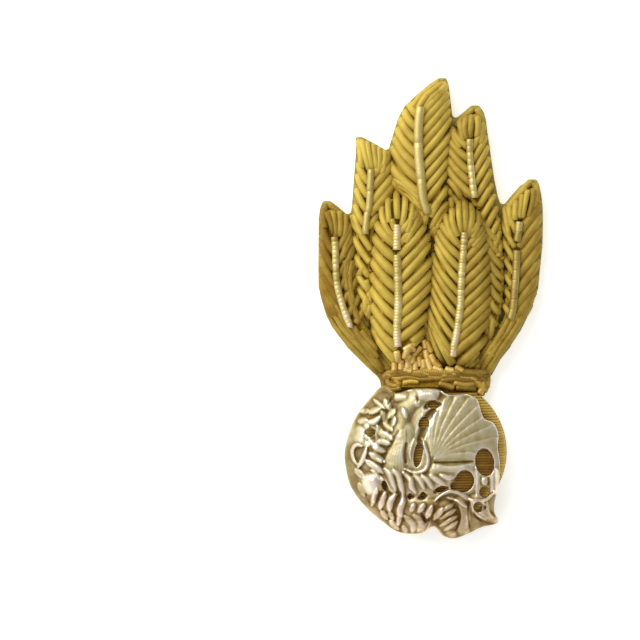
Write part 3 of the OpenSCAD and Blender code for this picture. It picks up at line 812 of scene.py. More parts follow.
    def hems(self, flame, tongue, gilt_and_side_shade):
        """Purl that lies on the felt along the outline, at a tip or foot where the pad's side would show."""
        r = props("purl").by_hand / 2
        inset = 0.75 * r
        stretches = []
        if flame in HEMMED_TIPS:
            stretches += [(side, tongue.tip - inset, tongue.tip - HEM_LENGTH) for side in (-1, 1)]
        if flame in HEMMED_FEET:
            stretches.append((HEMMED_FEET[flame], HEM_TOP, tongue.foot + r))
        pieces = []
        for side, top, bottom in stretches:
            ys = np.linspace(top, bottom, 9)
            half_width = (tongue.edge(ys, 1) - tongue.edge(ys, -1)) / 2
            xs = tongue.edge(ys, side) - side * np.minimum(inset, half_width)
            route = np.column_stack([xs, ys, np.full(len(ys), tongue.base + 0.9 * r)])
            # A hem takes its side's gilt, which is partly painted shade
            pieces.append(lay(self.blank, route, r, tone=gilt_and_side_shade[int(side > 0)] + self.TONES / 2))
        return pieces


# The look of each vein: its width and the length of a turn in millimetres, how bright it is and how much its
# turns differ in width and in tone, the tone painting their glints and shade, and how far along it a purl
# crosses it, in millimetres
VEINS = {
    "far_left": (1.05, 0.6, 0.58, 0.7, None),
    "left": (1.0, 3.4, 0.3, 0.2, None),
    "centre": (1.35, 5.2, 0.48, 0.15, None),
    "right": (1.05, 0.9, 0.58, 0.5, None),
    "far_right": (1.15, 1.3, 0.12, 0.4, 10.0),
    "front_left": (1.25, 0.42, 0.7, 0.6, 12.9),
    "front_right": (1.2, 0.42, 0.6, 0.7, None),
}


class BADGE_OT_veins(bpy.types.Operator):
    """Couch the rough purl down the tongues"""

    bl_idname = "badge.veins"
    bl_label = "Rough purl veins"

    SEED = 5  # picks how its turns differ
    WAVES = 8  # places along a vein between which its brightness wanders
    GAP = 0.5  # half the length of the gap for a purl that crosses, in millimetres
    LONG_TURN = 1  # a turn longer than this, in millimetres, bends along the vein

    def execute(self, context):
        vein = props("vein")
        material = check_purl_material(tuple(vein.dull), tuple(vein.colour), tuple(vein.rosy_glint))
        short = round_blank("turn", sides=10, cuts=1, cap=0.12, taper=0.9)
        bending = round_blank("length", sides=10, cuts=6, cap=0.12, taper=0.8)
        draw = np.random.default_rng(self.SEED)
        for flame, (width, turn, bright, unlike, gap) in VEINS.items():
            tongue = Tongue(flame)
            run = run_of(np.diff(tongue.strand, axis=0))
            count = round(run[-1] / (turn * MM))
            waves = draw.uniform(-1, 1, self.WAVES)
            wander = np.interp(np.linspace(0, self.WAVES - 1, count), np.arange(self.WAVES), waves)
            pieces = []
            for i in range(count):
                stops = np.linspace(i, i + 1, 9) / count * run[-1]
                if gap and abs(stops[4] / MM - gap) < self.GAP:
                    continue
                route = np.column_stack([np.interp(stops, run, c) for c in tongue.strand.T])
                r = width / 2 * MM * draw.uniform(1 - 0.12 * unlike, 1)
                # A turn's tone, wandering along the vein and at random, paints its glint or its shade
                tone = bright + unlike * (0.4 * wander[i] + 0.35 * draw.uniform(-1, 1))
                blank = bending if turn > self.LONG_TURN else short
                pieces.append(lay(blank, route, r, turn=draw.uniform(0, 1), tone=tone))
            dress(join(pieces, "rough_purl_" + flame), material, [tongue.vein_node])
        remove(short)
        remove(bending)
        return {"FINISHED"}


# Chips of cut purl between the front tongues: the two ends of each, in millimetres
CHIPS = [
    [(-3.7, -6.8), (-3.3, -5.7)], [(-3.2, -6.6), (-3.3, -8.3)], [(-2.5, -6.6), (-1.5, -5.5)],
    [(-3.7, -5.8), (-2.9, -5.3)], [(-2.2, -7.6), (-2.2, -8.6)], [(-2.6, -6.8), (-2.6, -7.6)],
    [(-1.7, -6.9), (-1.5, -8.0)], [(-4.2, -7.3), (-4.2, -8.5)], [(-4.8, -6.1), (-4.6, -7.2)],
    [(-0.8, -6.0), (-0.6, -6.9)], [(-0.6, -7.2), (-0.1, -8.5)], [(-0.6, -4.8), (0.0, -6.1)],
    [(-1.3, -8.3), (-0.6, -8.7)], [(-3.7, -8.5), (-2.8, -8.8)], [(0.4, -7.6), (1.2, -8.2)],
    [(-1.0, -4.6), (-0.8, -5.5)], [(0.0, -6.6), (0.4, -7.5)], [(-3.0, -7.8), (-2.8, -8.7)],
    [(-5.1, -7.6), (-5.1, -8.6)], [(-1.1, -7.3), (-1.0, -8.3)], [(0.4, -8.3), (1.4, -8.7)],
    [(-3.5, -6.2), (-2.8, -5.7)], [(-3.0, -5.3), (-2.5, -5.8)], [(2.1, -8.5), (3.0, -8.7)],
    [(3.5, -8.2), (4.3, -8.7)],
]
# Strands that bind the neck: the points that each runs through, in millimetres
STRANDS = [
    [(-6.6, -9.6), (-5.7, -8.9), (-4.0, -8.8), (-2.1, -9.0), (-0.1, -8.8), (1.8, -9.0), (3.7, -8.8),
     (6.0, -9.0), (7.9, -8.9)],
    [(-6.5, -10.1), (-5.1, -9.4), (-3.5, -9.1), (-1.5, -9.5), (0.4, -9.3), (2.1, -9.6), (4.3, -9.3),
     (6.5, -9.6), (8.0, -9.4)], [(-4.8, -10.0), (-3.2, -9.6), (-1.4, -9.9), (0.3, -9.8)],
    [(1.4, -10.1), (2.9, -9.8), (4.6, -10.0), (6.2, -10.1), (7.9, -10.0)],
    [(-6.0, -9.8), (-5.8, -10.5), (-5.1, -10.9), (-4.4, -10.7), (-4.8, -10.0)],
    [(1.2, -10.5), (2.1, -10.8), (3.0, -11.1)], [(3.3, -10.4), (4.6, -10.7), (5.8, -10.5)],
    [(6.2, -9.0), (7.2, -10.0), (7.8, -11.1)], [(5.5, -9.7), (6.6, -10.5), (7.3, -11.4)],
    [(7.9, -9.3), (7.9, -10.4), (7.5, -11.6)], [(7.3, -9.6), (7.2, -10.8), (6.8, -11.9)],
    [(-7.2, -9.0), (-6.6, -10.0), (-6.4, -11.1)], [(-6.5, -10.9), (-5.4, -11.4), (-4.3, -11.1)],
    [(-3.7, -10.4), (-2.6, -10.2), (-1.8, -10.3)], [(3.6, -11.1), (4.7, -11.2), (6.0, -11.2)],
    [(-6.2, -9.1), (-4.8, -9.8), (-3.7, -9.7)], [(-1.0, -9.0), (0.4, -9.7), (2.1, -9.4)],
    [(2.9, -9.1), (4.8, -9.7), (6.5, -9.4)],
]


class BADGE_OT_neck(bpy.types.Operator):
    """Bind the neck and lay the cut chips"""

    bl_idname = "badge.neck"
    bl_label = "Neck and chips"

    END_RISE = 0.25  # height of the strands at the neck's ends, as a share of the height in its middle
    SINK = 0.6  # of its half width, how far a strand lies under that height
    CHIP_SINK = 0.7  # of its half width, how far a chip lies under the front tongues' surface

    def execute(self, context):
        neck, wire = props("neck"), props("purl").wire
        padding = wool_felt_material("Gold wool under the chips", srgb("#A47E1E"), props("felt").fibre)
        pad_of("pad_neck", "neck_wrap", padding, voxel=0.2 * MM, inset=0.3 * MM)
        pad_of("pad_chips", "neck_chips", padding, voxel=0.2 * MM, inset=0.3 * MM)
        material = gilt_purl_material("Gilt purl of the neck", srgb("#D8B450"), srgb("#86641A"), wire, 0.5)
        bright = gilt_purl_material("Cut gilt purl", srgb("#F0D080"), srgb("#CAA242"), wire, 0.42)
        self.draw = np.random.default_rng(neck.seed)
        self.blank = round_blank("strand", sides=8, cuts=14, cap=0.4, taper=0.7)
        dress(join(self.strands(neck.strand / 2), "neck_strands"), material, ["neck_wrap"])
        dress(join(self.chips(neck.chip / 2), "cut_chips"), bright, ["neck_chips"])
        remove(self.blank)
        return {"FINISHED"}

    def strands(self, r):
        """The strands that bind the neck, highest in its middle."""
        low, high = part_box("neck_wrap")
        half, middle = (high.x - low.x) / 2, (high.x + low.x) / 2
        pieces = []
        for points in STRANDS:
            plan = curve_through(points) * MM
            bow = np.clip(1 - ((plan[:, 0] - middle) / half) ** 2, 0, 1)
            rise = self.END_RISE + (1 - self.END_RISE) * bow
            z = low.z + (high.z - low.z) * rise - self.SINK * r
            radius = r * self.draw.uniform(0.85, 1.05)
            pieces.append(lay(self.blank, np.column_stack([plan, z]), radius, tone=self.draw.uniform()))
        return pieces

    def chips(self, r):
        """Short cut purl on the patch between the front tongues, and on their feet where it is over them."""
        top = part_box("neck_chips")[1].z
        fronts = [Tongue(flame) for flame in ("front_left", "front_right")]
        pieces = []
        for ends in CHIPS:
            plan = curve_through([ends[0], np.mean(ends, axis=0), ends[1]], 2) * MM
            z = np.full(len(plan), top) - r * self.draw.uniform(0.7, 1.2)
            for front in fronts:
                over = np.array([front.holds(x, y) for x, y in plan])
                surface = front.base + front.height(*plan.T)
                z = np.where(over, np.maximum(z, surface - self.CHIP_SINK * r), z)
            radius = r * self.draw.uniform(0.9, 1.1)
            pieces.append(lay(self.blank, np.column_stack([plan, z]), radius, tone=self.draw.uniform()))
        return pieces


class BADGE_OT_ball(bpy.types.Operator):
    """Pad the ball and lay its gilt wire"""

    bl_idname = "badge.ball"
    bl_label = "Ball"

    SEED = 3  # picks how bright each wire is
    SPACING = 1.5  # of a wire's half width, from one wire to the next
    INSET = 1.2  # of a wire's half width, from the ball's side to a wire's end
    # The wire under the casting is painted in shade; towards the ball's rim it turns bright
    RUBBED_FROM, RUBBED_OVER = 0.84, 0.08  # of the radius, where the wire turns bright and over what way
    RUBBED = 0.7  # how much brighter it is there

    def execute(self, context):
        ball = props("ball")
        padding = wool_felt_material("Gold wool of the ball", srgb("#6E4C16"), props("felt").fibre)
        pad_of("pad_ball", "ball_pad", padding, voxel=0.35 * MM, inset=0.25 * MM)
        low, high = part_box("ball_pad")
        middle, radius = (low + high) / 2, (high.x - low.x) / 2
        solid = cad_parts["ball_pad"].data
        tree = BVHTree.FromPolygons([v.co for v in solid.vertices], [f.vertices[:] for f in solid.polygons])
        blank = round_blank("wire", sides=6, cuts=14, cap=0.3)
        edges = edges_of("ball_pad")
        r = ball.wire / 2
        room = high.y - low.y - 2 * r
        count = int(room / (self.SPACING * r))
        draw = np.random.default_rng(self.SEED)
        pieces = []
        for i in range(count):
            y = low.y + r + room * (i + 0.5) / count
            xs = cut_across(edges, y)[:, 0]
            route = []
            for x in np.linspace(xs.min() + self.INSET * r, xs.max() - self.INSET * r, 40):
                hit = tree.ray_cast(Vector((x, y, high.z + MM)), Vector((0, 0, -1)))[0]
                route.append((x, y, max(hit.z - r, low.z + r)))
            route = [(route[0][0], y, low.z + 0.5 * r), *route, (route[-1][0], y, low.z + 0.5 * r)]
            wire = lay(blank, route, r, across=(0, 1, 0))
            out = np.linalg.norm(points_of(wire.data)[:, :2] - (middle.x, low.y + radius), axis=1) / radius
            # Painted shade under the casting, lifting to bright gilt at the rim
            brightened = np.clip((out - self.RUBBED_FROM) / self.RUBBED_OVER, 0, 1)
            keep_value(wire.data, "tone", brightened * self.RUBBED + 0.3 * draw.uniform())
            pieces.append(wire)
        material = gilt_purl_material("Gilt wire", tuple(ball.colour), tuple(ball.shade), 0.3 * MM, 0.5)
        dress(join(pieces, "ball_wire"), material, ["ball_pad"])
        remove(blank)
        return {"FINISHED"}


# The casting's relief, in millimetres from the badge's middle. The hub of the shell fan, and for each of its
# ribs the direction in degrees, the length and the half width at its end
FAN_HUB = (0.0, -20.8)
FAN_RIBS = [
    (91, 4.4, 0.5), (83, 6.4, 0.6), (74, 8.6, 0.75), (64, 9.4, 0.85), (54, 9.9, 0.9), (44, 9.8, 0.9),
    (34, 9.8, 0.9), (24, 9.8, 0.9), (14, 9.4, 0.85), (4, 5.9, 0.6),
]
# Broad forms that swell from the dome: half width at the start and at the end, height, and points on the way
MASSES = [
    (1.11, 1.39, 0.45, [(-0.6, -11.8), (-2.5, -12.6), (-3.7, -14.0), (-4.4, -15.8), (-4.3, -17.7)]),
    (1.66, 1.8, 0.4, [(-4.0, -16.9), (-4.3, -19.1), (-5.1, -21.1), (-5.4, -23.0)]),
    (1.52, 1.52, 0.35, [(-6.0, -23.6), (-4.0, -24.4), (-1.8, -24.4), (0.4, -24.1), (2.2, -23.3)]),
    (1.25, 1.25, 0.9, [(-1.4, -11.8), (0.0, -11.8)]),
    (1.39, 1.66, 0.4, [(-6.5, -13.0), (-7.9, -15.0), (-9.3, -17.5)]),
    (1.66, 1.39, 0.45, [(-8.2, -19.4), (-8.7, -20.8), (-7.6, -21.9)]),
    (1.39, 1.39, 1.2, [(-8.3, -24.0), (-8.0, -24.8)]),
    (0.76, 0.48, 0.8, [(-7.9, -24.9), (-8.0, -26.6)]),
    (1.39, 1.39, 0.45, [(-7.6, -25.8), (-6.0, -26.9), (-4.0, -27.7), (-1.8, -27.7), (0.4, -27.7)]),
    (0.97, 0.83, 0.3, [(-5.1, -29.6), (-2.9, -30.2), (-0.7, -30.2)]),
    (1.66, 1.52, 0.9, [(1.9, -28.1), (2.4, -29.5)]),
    (1.39, 0.42, 0.6, [(6.2, -27.0), (7.1, -28.4), (9.3, -29.8)]),
    (1.11, 0.97, 0.5, [(4.0, -27.0), (4.4, -28.8), (4.2, -30.6)]),
    (0.97, 0.97, 0.6, [(-9.7, -17.0), (-9.8, -18.0)]),
    (0.76, 0.69, 0.6, [(8.5, -22.7), (8.6, -25.2)]),
    (0.69, 0.69, 0.4, [(2.5, -30.9), (3.0, -31.2)]),
    (0.69, 0.69, 0.4, [(4.2, -30.9), (4.7, -30.9)]),
    (0.97, 0.83, 0.3, [(0.4, -22.6), (2.4, -22.6), (4.3, -22.3)]),
    (0.9, 0.83, 0.5, [(-4.7, -12.2), (-3.7, -12.3)]),
    (0.83, 0.83, 0.45, [(-2.6, -13.0), (-2.1, -13.0)]),
    (0.69, 0.69, 0.35, [(-3.6, -13.3), (-3.0, -13.4)]),
]
# Ridges that stand on them, in the same columns
RIDGES = [
    (0.5, 0.44, 0.4, [(-6.5, -22.2), (-5.8, -23.0), (-5.4, -24.1), (-5.0, -25.2)]),
    (0.53, 0.47, 0.5, [(-5.3, -22.4), (-4.6, -23.1), (-4.3, -24.4), (-3.9, -25.8)]),
    (0.53, 0.44, 0.45, [(-3.9, -22.7), (-3.0, -23.6), (-2.8, -24.7), (-2.2, -25.5)]),
    (0.5, 0.42, 0.36, [(-2.5, -22.9), (-1.7, -23.7), (-1.1, -24.9)]),
    (0.44, 0.42, 0.32, [(-1.4, -23.0), (-0.6, -23.8), (0.1, -24.9)]),
    (0.44, 0.42, 0.3, [(-0.3, -23.0), (0.7, -23.7), (1.8, -24.4)]),
    (0.42, 0.36, 0.3, [(1.2, -23.0), (2.2, -23.4), (3.0, -23.4)]),
    (0.33, 0.33, 0.45, [(-8.3, -22.4), (-7.5, -23.0), (-6.6, -24.0), (-5.7, -25.1), (-4.8, -25.8)]),
    (0.47, 0.53, 0.55, [(-6.4, -25.4), (-6.8, -26.5), (-7.1, -27.7)]),
    (0.53, 0.55, 0.6, [(-5.1, -25.8), (-5.7, -26.7), (-5.8, -28.0)]),
    (0.55, 0.5, 0.7, [(-4.0, -25.8), (-4.0, -26.7), (-4.4, -27.7), (-4.4, -28.8), (-4.6, -29.9)]),
    (0.44, 0.42, 0.5, [(-7.5, -25.1), (-7.9, -26.2), (-8.2, -27.3)]),
    (0.47, 0.44, 0.45, [(-2.5, -27.0), (-2.9, -28.0)]),
    (0.5, 0.47, 0.55, [(-1.1, -27.0), (-1.8, -28.1)]),
    (0.5, 0.5, 0.55, [(0.0, -27.3), (-0.7, -29.0)]),
    (0.53, 0.55, 0.55, [(1.4, -27.6), (0.4, -29.1)]),
    (0.44, 0.42, 0.4, [(-6.9, -28.1), (-6.1, -29.2)]),
    (0.47, 0.42, 0.4, [(-5.7, -29.5), (-4.6, -30.6)]),
    (0.44, 0.42, 0.35, [(-5.8, -28.3), (-5.3, -29.2)]),
    (0.55, 0.5, 0.35, [(-3.7, -28.8), (-2.5, -29.9), (-2.6, -30.9)]),
    (0.55, 0.47, 0.3, [(-2.4, -28.7), (-1.5, -29.6), (-1.8, -30.8)]),
    (0.42, 0.42, 0.3, [(-3.9, -30.2), (-3.5, -31.0)]),
    (0.33, 0.33, 0.28, [(3.0, -27.0), (1.4, -28.0)]),
    (0.33, 0.33, 0.3, [(3.3, -27.8), (1.2, -29.1)]),
    (0.33, 0.33, 0.3, [(3.5, -28.7), (1.2, -30.1)]),
    (0.33, 0.33, 0.3, [(3.6, -29.5), (1.8, -30.8)]),
    (0.3, 0.33, 0.4, [(-1.4, -18.0), (-1.0, -19.1), (-0.6, -20.4), (-0.6, -21.5), (-1.1, -22.4),
     (-2.4, -22.7), (-3.7, -22.2)]),
    (0.24, 0.22, 0.3, [(-2.4, -18.0), (-2.8, -19.1), (-3.0, -20.1), (-2.9, -20.9)]),
    (0.53, 0.53, 0.45, [(-7.3, -18.3), (-5.8, -18.7)]),
    (0.55, 0.53, 0.42, [(-8.0, -19.3), (-6.5, -19.8)]),
    (0.58, 0.58, 0.55, [(-8.5, -20.1), (-6.6, -21.2)]),
    (0.55, 0.53, 0.5, [(-9.0, -21.1), (-7.8, -21.9), (-6.8, -22.7)]),
    (0.53, 0.5, 0.42, [(-6.6, -17.2), (-5.5, -18.1)]),
    (0.53, 0.5, 0.38, [(-6.6, -15.9), (-5.5, -16.9)]),
    (0.33, 0.33, 0.5, [(-9.6, -19.1), (-10.4, -19.0), (-10.9, -19.7), (-10.8, -20.8), (-10.3, -21.6)]),
    (0.39, 0.39, 0.55, [(-9.0, -19.3), (-9.3, -20.4), (-9.7, -21.3), (-10.1, -22.0)]),
    (0.47, 0.44, 0.35, [(-9.7, -14.4), (-8.6, -14.2)]),
    (0.53, 0.53, 0.45, [(-8.5, -14.5), (-7.1, -13.9)]),
    (0.39, 0.39, 0.4, [(-7.9, -12.7), (-6.5, -13.9)]),
    (0.53, 0.5, 0.6, [(-8.7, -15.8), (-7.9, -15.7), (-7.1, -15.0)]),
    (0.53, 0.47, 0.4, [(-10.0, -15.7), (-8.9, -15.5)]),
    (0.42, 0.42, 0.5, [(-9.1, -16.1), (-8.7, -16.6)]),
    (0.53, 0.5, 0.5, [(-5.1, -14.0), (-6.0, -15.2)]),
    (0.47, 0.42, 0.3, [(-4.0, -13.9), (-3.5, -15.1)]),
    (0.47, 0.44, 0.35, [(-5.1, -15.1), (-5.5, -16.3)]),
    (0.58, 0.55, 0.35, [(-6.9, -14.3), (-6.2, -15.8)]),
    (0.58, 0.53, 0.35, [(-6.4, -12.7), (-5.8, -14.0)]),
    (0.55, 0.53, 0.35, [(-7.5, -16.3), (-6.5, -17.9)]),
    (0.55, 0.53, 0.35, [(-8.5, -18.3), (-7.3, -19.3)]),
    (0.53, 0.5, 0.35, [(-9.8, -18.3), (-8.7, -19.0)]),
    (0.53, 0.5, 0.3, [(-10.4, -22.4), (-9.4, -23.4)]),
    (0.5, 0.42, 0.25, [(-10.0, -24.4), (-9.3, -26.0)]),
    (0.33, 0.33, 0.4, [(0.4, -26.6), (1.2, -25.9), (2.1, -25.4), (2.9, -25.3), (4.2, -25.8), (5.4, -26.5),
     (6.8, -26.6), (7.9, -26.2), (8.6, -25.4)]),
    (0.28, 0.28, 0.3, [(2.2, -26.2), (3.5, -26.6), (4.8, -27.4)]),
    (0.55, 0.55, 0.5, [(7.3, -23.6), (7.3, -24.2)]),
    (0.36, 0.36, 0.3, [(6.2, -21.9), (6.4, -24.1), (6.2, -26.0)]),
    (0.39, 0.33, 0.4, [(4.6, -11.5), (6.2, -12.5)]),
    (0.36, 0.36, 0.3, [(1.4, -11.5), (2.6, -12.1)]),
    (0.22, 0.19, 0.22, [(5.4, -26.6), (6.0, -28.3), (7.6, -29.4)]),
    (0.21, 0.18, 0.22, [(7.6, -26.6), (7.9, -28.3), (8.6, -29.2)]),
]
# Flutes that lap over each other like feathers, in the same columns. Six run down side by side, each given by
# how far across it lies at four heights
LAPPED = [(0.17, 0.4, 0.12, list(zip(across, (-16.9, -18.8, -20.8, -22.7)))) for across in [
    (-4.6, -5.4, -6.2, -6.5), (-4.4, -5.1, -5.8, -6.0), (-4.2, -4.8, -5.4, -5.6), (-4.1, -4.5, -5.0, -5.1),
    (-3.9, -4.2, -4.6, -4.6), (-3.7, -3.9, -4.2, -4.2),
]]
LAPPED.append((0.5, 0.47, 0.22, [(0.4, -21.9), (2.6, -22.2), (5.4, -21.9)]))
# Lines and hollows cut between them: half width, depth, and points
LINES = [
    (0.25, 0.2, [(-4.6, -16.9), (-5.4, -18.4), (-6.4, -20.2), (-6.8, -21.9)]),
    (0.18, 0.25, [(0.4, -21.3), (2.6, -21.3), (5.7, -21.2)]),
    (0.15, 0.22, [(5.7, -27.8), (6.1, -28.8), (6.9, -29.5)]),
    (0.15, 0.25, [(3.5, -27.2), (3.9, -28.8), (3.5, -30.6)]),
    (0.15, 0.2, [(5.1, -26.6), (5.0, -28.5), (5.3, -30.3)]),
    (0.15, 0.2, [(-0.6, -28.5), (-0.4, -29.6), (-1.0, -30.8)]),
    (0.18, 0.25, [(-2.8, -10.5), (-2.2, -11.6), (-1.9, -12.9)]),
    (0.18, 0.2, [(-5.3, -11.1), (-5.3, -12.2), (-6.0, -13.3)]),
    (0.55, 0.55, [(1.0, -13.3), (-0.1, -13.3), (-0.8, -13.7)]),
    (0.62, 0.6, [(0.3, -14.0), (-0.6, -15.0), (-1.1, -16.3), (-1.5, -17.7), (-1.8, -19.1)]),
    (0.36, 0.3, [(-3.5, -18.7), (-3.7, -19.9), (-3.6, -21.3)]),
    (0.55, 0.5, [(2.8, -24.5), (3.3, -24.1)]),
    (0.42, 0.4, [(0.4, -25.4), (1.2, -25.1), (2.1, -24.8)]),
    (0.36, 0.4, [(-3.2, -26.0), (-2.5, -26.0)]),
    (0.42, 0.45, [(-1.7, -26.2), (-0.8, -25.9)]),
    (0.42, 0.4, [(-6.6, -24.1), (-6.2, -25.1)]),
    (0.62, 0.45, [(6.1, -27.7), (7.3, -27.6)]),
    (0.33, 0.3, [(-1.4, -28.4), (-0.7, -29.6)]),
    (0.42, 0.35, [(-9.0, -17.2), (-8.3, -17.2), (-7.9, -18.4)]),
]
# Where the casting is painted lighter or darker than its height tells: a patch's middle, radius and
# difference in tone. The first two are painted highlights, on the boss and on a spot at the left; the two
# under the neck, at the top, are painted shade that it casts; the others only make the casting lighter or
# darker
LIGHT_AND_TONE_PATCHES = [
    (-8.2, -24.1, 2.0, 0.3),
    (-9.8, -16.6, 3.0, 0.1),
    (-5.0, -27.0, 4.5, 0.07),
    (2.2, -28.8, 2.8, -0.2),
    (2.4, -10.8, 3.4, -0.12),
    (-5.6, -10.4, 3.0, -0.35),
    (-9.0, -14.6, 3.6, -0.16),
    (-4.2, -15.4, 2.6, -0.08),
]
# How much darker the casting is painted at its rim than inside it, as painted shade where the dome turns away
RIM_SHADE = 0.24


def soft(out):
    """A low swelling's height across, from its middle to 1 or -1 at its sides."""
    return 1 - out ** 2


def rounded(out):
    return np.sqrt(1 - out ** 2)


def lapping(out):
    """A feather's height across: it rises to one side and drops there."""
    return (0.3 + 0.35 * (1 + out)) * np.sqrt(1 - out ** 6)


class BADGE_OT_emblem(bpy.types.Operator):
    """Cast the silver emblem"""

    bl_idname = "badge.emblem"
    bl_label = "Silver emblem"

    RIB_START = 0.15  # half width of a rib of the fan at the hub, in millimetres
    RIB_HEIGHT = 0.2  # in millimetres
    RIB_FROM, RIB_TO = 0.06, 0.94  # of its length, where a rib starts and ends
    RIB_BOW = 0.03  # of its length, how far its middle lies aside
    LIFT_FROM, LIFT_OVER = 0.1, 0.4  # of a normal's rise, where the relief sets in and over what way
    RIM_FROM, RIM_OVER = 0.82, 0.12  # of the reach, where the rim's painted shade starts and over what way
    # Rounds of averaging over a point's near surroundings, and how many more over its wide ones
    AROUND = (("ridge", 8), ("lift", 52))

    def execute(self, context):
        self.emblem = props("emblem")
        low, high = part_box("ball_pad")
        radius = (high.x - low.x) / 2
        self.centre = np.array([(low.x + high.x) / 2, low.y + radius])
        self.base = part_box("emblem")[0].z
        piece = self.plate()
        apply_modifier(piece, "REMESH", mode="VOXEL", voxel_size=self.emblem.voxel)
        self.raise_relief(piece.data)
        apply_modifier(piece, "SMOOTH", factor=0.5, iterations=3)
        self.keep_wear_and_light(piece.data)
        material = silver_material(tuple(self.emblem.colour), tuple(self.emblem.tarnish_and_shade))
        dress(piece, material, ["emblem"])
        return {"FINISHED"}

    def dome(self, x, y):
        """Height of the plain dome at a place on the badge."""
        out = np.hypot(x - self.centre[0], y - self.centre[1]) / self.emblem.reach
        return self.base + self.emblem.rise * np.sqrt(np.clip(1 - out ** 2, 0, 1))

    def plate(self):
        """The pierced plate without its relief: the underside of the CAD node, drawn up to the dome."""
        plate = self.emblem.plate
        piece = copy_of_node("silver_emblem", "emblem")

        def not_underside(face):
            middle = face.calc_center_median()
            return face.normal.z > -0.1 or middle.z > self.dome(*middle.xy) - 0.4 * plate

        bpy.ops.object.mode_set(mode="EDIT")
        select_faces(piece, not_underside)
        bpy.ops.mesh.delete(type="FACE")
        bpy.ops.mesh.select_all(action="SELECT")
        bpy.ops.mesh.extrude_region_move(TRANSFORM_OT_translate={"value": (0, 0, plate)})
        mesh = bmesh.from_edit_mesh(piece.data)
        for point in mesh.verts:
            if point.select:
                point.co.z = self.dome(point.co.x, point.co.y)
        bmesh.update_edit_mesh(piece.data)
        bpy.ops.mesh.select_all(action="SELECT")
        bpy.ops.mesh.normals_make_consistent(inside=False)
        bpy.ops.object.mode_set(mode="OBJECT")
        return piece

    def swell(self, places, strokes, profile, taper=0.0):
        """The height of the tallest stroke at each place, in millimetres. A taper draws its ends in."""
        tallest = np.zeros(len(places))
        for start, end, height, points in strokes:
            line = curve_through(points, 4)
            widest = max(start, end)
            near = np.flatnonzero(((places > line.min(0) - widest) & (places < line.max(0) + widest)).all(1))
            run = np.diff(line, axis=0)
            from_start = places[near, None] - line[:-1]
            share = np.clip((from_start * run).sum(2) / (run ** 2).sum(1), 0, 1)
            away = np.linalg.norm(from_start - share[..., None] * run, axis=2)
            side = np.sign(from_start[..., 1] * run[:, 0] - from_start[..., 0] * run[:, 1])
            along = (np.arange(len(run)) + share) / len(run)
            half = (start + (end - start) * along) * (1 - taper * np.abs(2 * along - 1) ** 3)
            out = away / half
            nearest = out.argmin(1)[:, None]
            out = np.clip(np.take_along_axis(out * side, nearest, 1)[:, 0], -1, 1)
            tallest[near] = np.maximum(tallest[near], height * profile(out))
        return tallest

    def fan(self):
        """The ribs of the shell fan, as strokes."""
        hub = np.array(FAN_HUB)
        ribs = []
        for turn, reach, half in FAN_RIBS:
            way = np.array([math.cos(math.radians(turn)), math.sin(math.radians(turn))])
            aside = self.RIB_BOW * reach * np.array([-way[1], way[0]])
            points = [hub + self.RIB_FROM * reach * way, hub + 0.5 * reach * way + aside,
                      hub + self.RIB_TO * reach * way]
            ribs.append((self.RIB_START, half, self.RIB_HEIGHT, points))
        return ribs

    def relief(self, places):
        """The relief's height over the dome at each place, in millimetres."""
        lines = [(half, half, depth, points) for half, depth, points in LINES]
        ridges = self.swell(places, RIDGES, rounded, taper=0.5)
        lapped = self.swell(places, LAPPED + self.fan(), lapping)
        masses = self.swell(places, MASSES, soft)
        return masses + np.maximum(ridges, lapped) - self.swell(places, lines, soft, taper=0.4)

    def raise_relief(self, mesh):
        """Lifts the plate's upper side into the relief."""
        points = points_of(mesh)
        rise = rows_of(mesh.vertices, "normal")[:, 2]
        upward = np.clip((rise - self.LIFT_FROM) / self.LIFT_OVER, 0, 1)
        height = self.dome(points[:, 0], points[:, 1]) + self.relief(points[:, :2] / MM) * MM
        points[:, 2] += upward * (height - points[:, 2])
        put_points(mesh, points)

    def keep_wear_and_light(self, mesh):
        """Keeps how far each point stands over its near and its wide surroundings, in millimetres, which the
        silver turns into painted highlight and painted shade; the wide one also carries the rim's and the
        patches' painted light and tone.
        """
        points, normals = points_of(mesh), rows_of(mesh.vertices, "normal")
        ends = rows_of(mesh.edges, "vertices", 2, int)
        a, b = ends.T
        shared = np.maximum(np.bincount(ends.ravel(), minlength=len(points)), 1)
        more = {"ridge": 0, "lift": self.painted_light_and_tone(points)}
        around = points
        for name, rounds in self.AROUND:
            for _ in range(rounds):
                total = [np.bincount(a, across[b], len(points)) + np.bincount(b, across[a], len(points))
                         for across in around.T]
                around = np.array(total).T / shared[:, None]
            keep_value(mesh, name, ((points - around) * normals).sum(1) / MM + more[name])

    def painted_light_and_tone(self, points):
        """How much lighter or darker each place is painted than its height tells: painted shade at the rim,
        and the patches of painted highlight, painted shade and tone.
        """
        out = np.hypot(*(points[:, :2] - self.centre).T) / self.emblem.reach
        more = -RIM_SHADE * np.clip((out - self.RIM_FROM) / self.RIM_OVER, 0, 1)
        for x, y, radius, amount in LIGHT_AND_TONE_PATCHES:
            away = np.hypot(points[:, 0] / MM - x, points[:, 1] / MM - y) / radius
            more += amount * np.clip(1 - away ** 2, 0, 1)
        return more


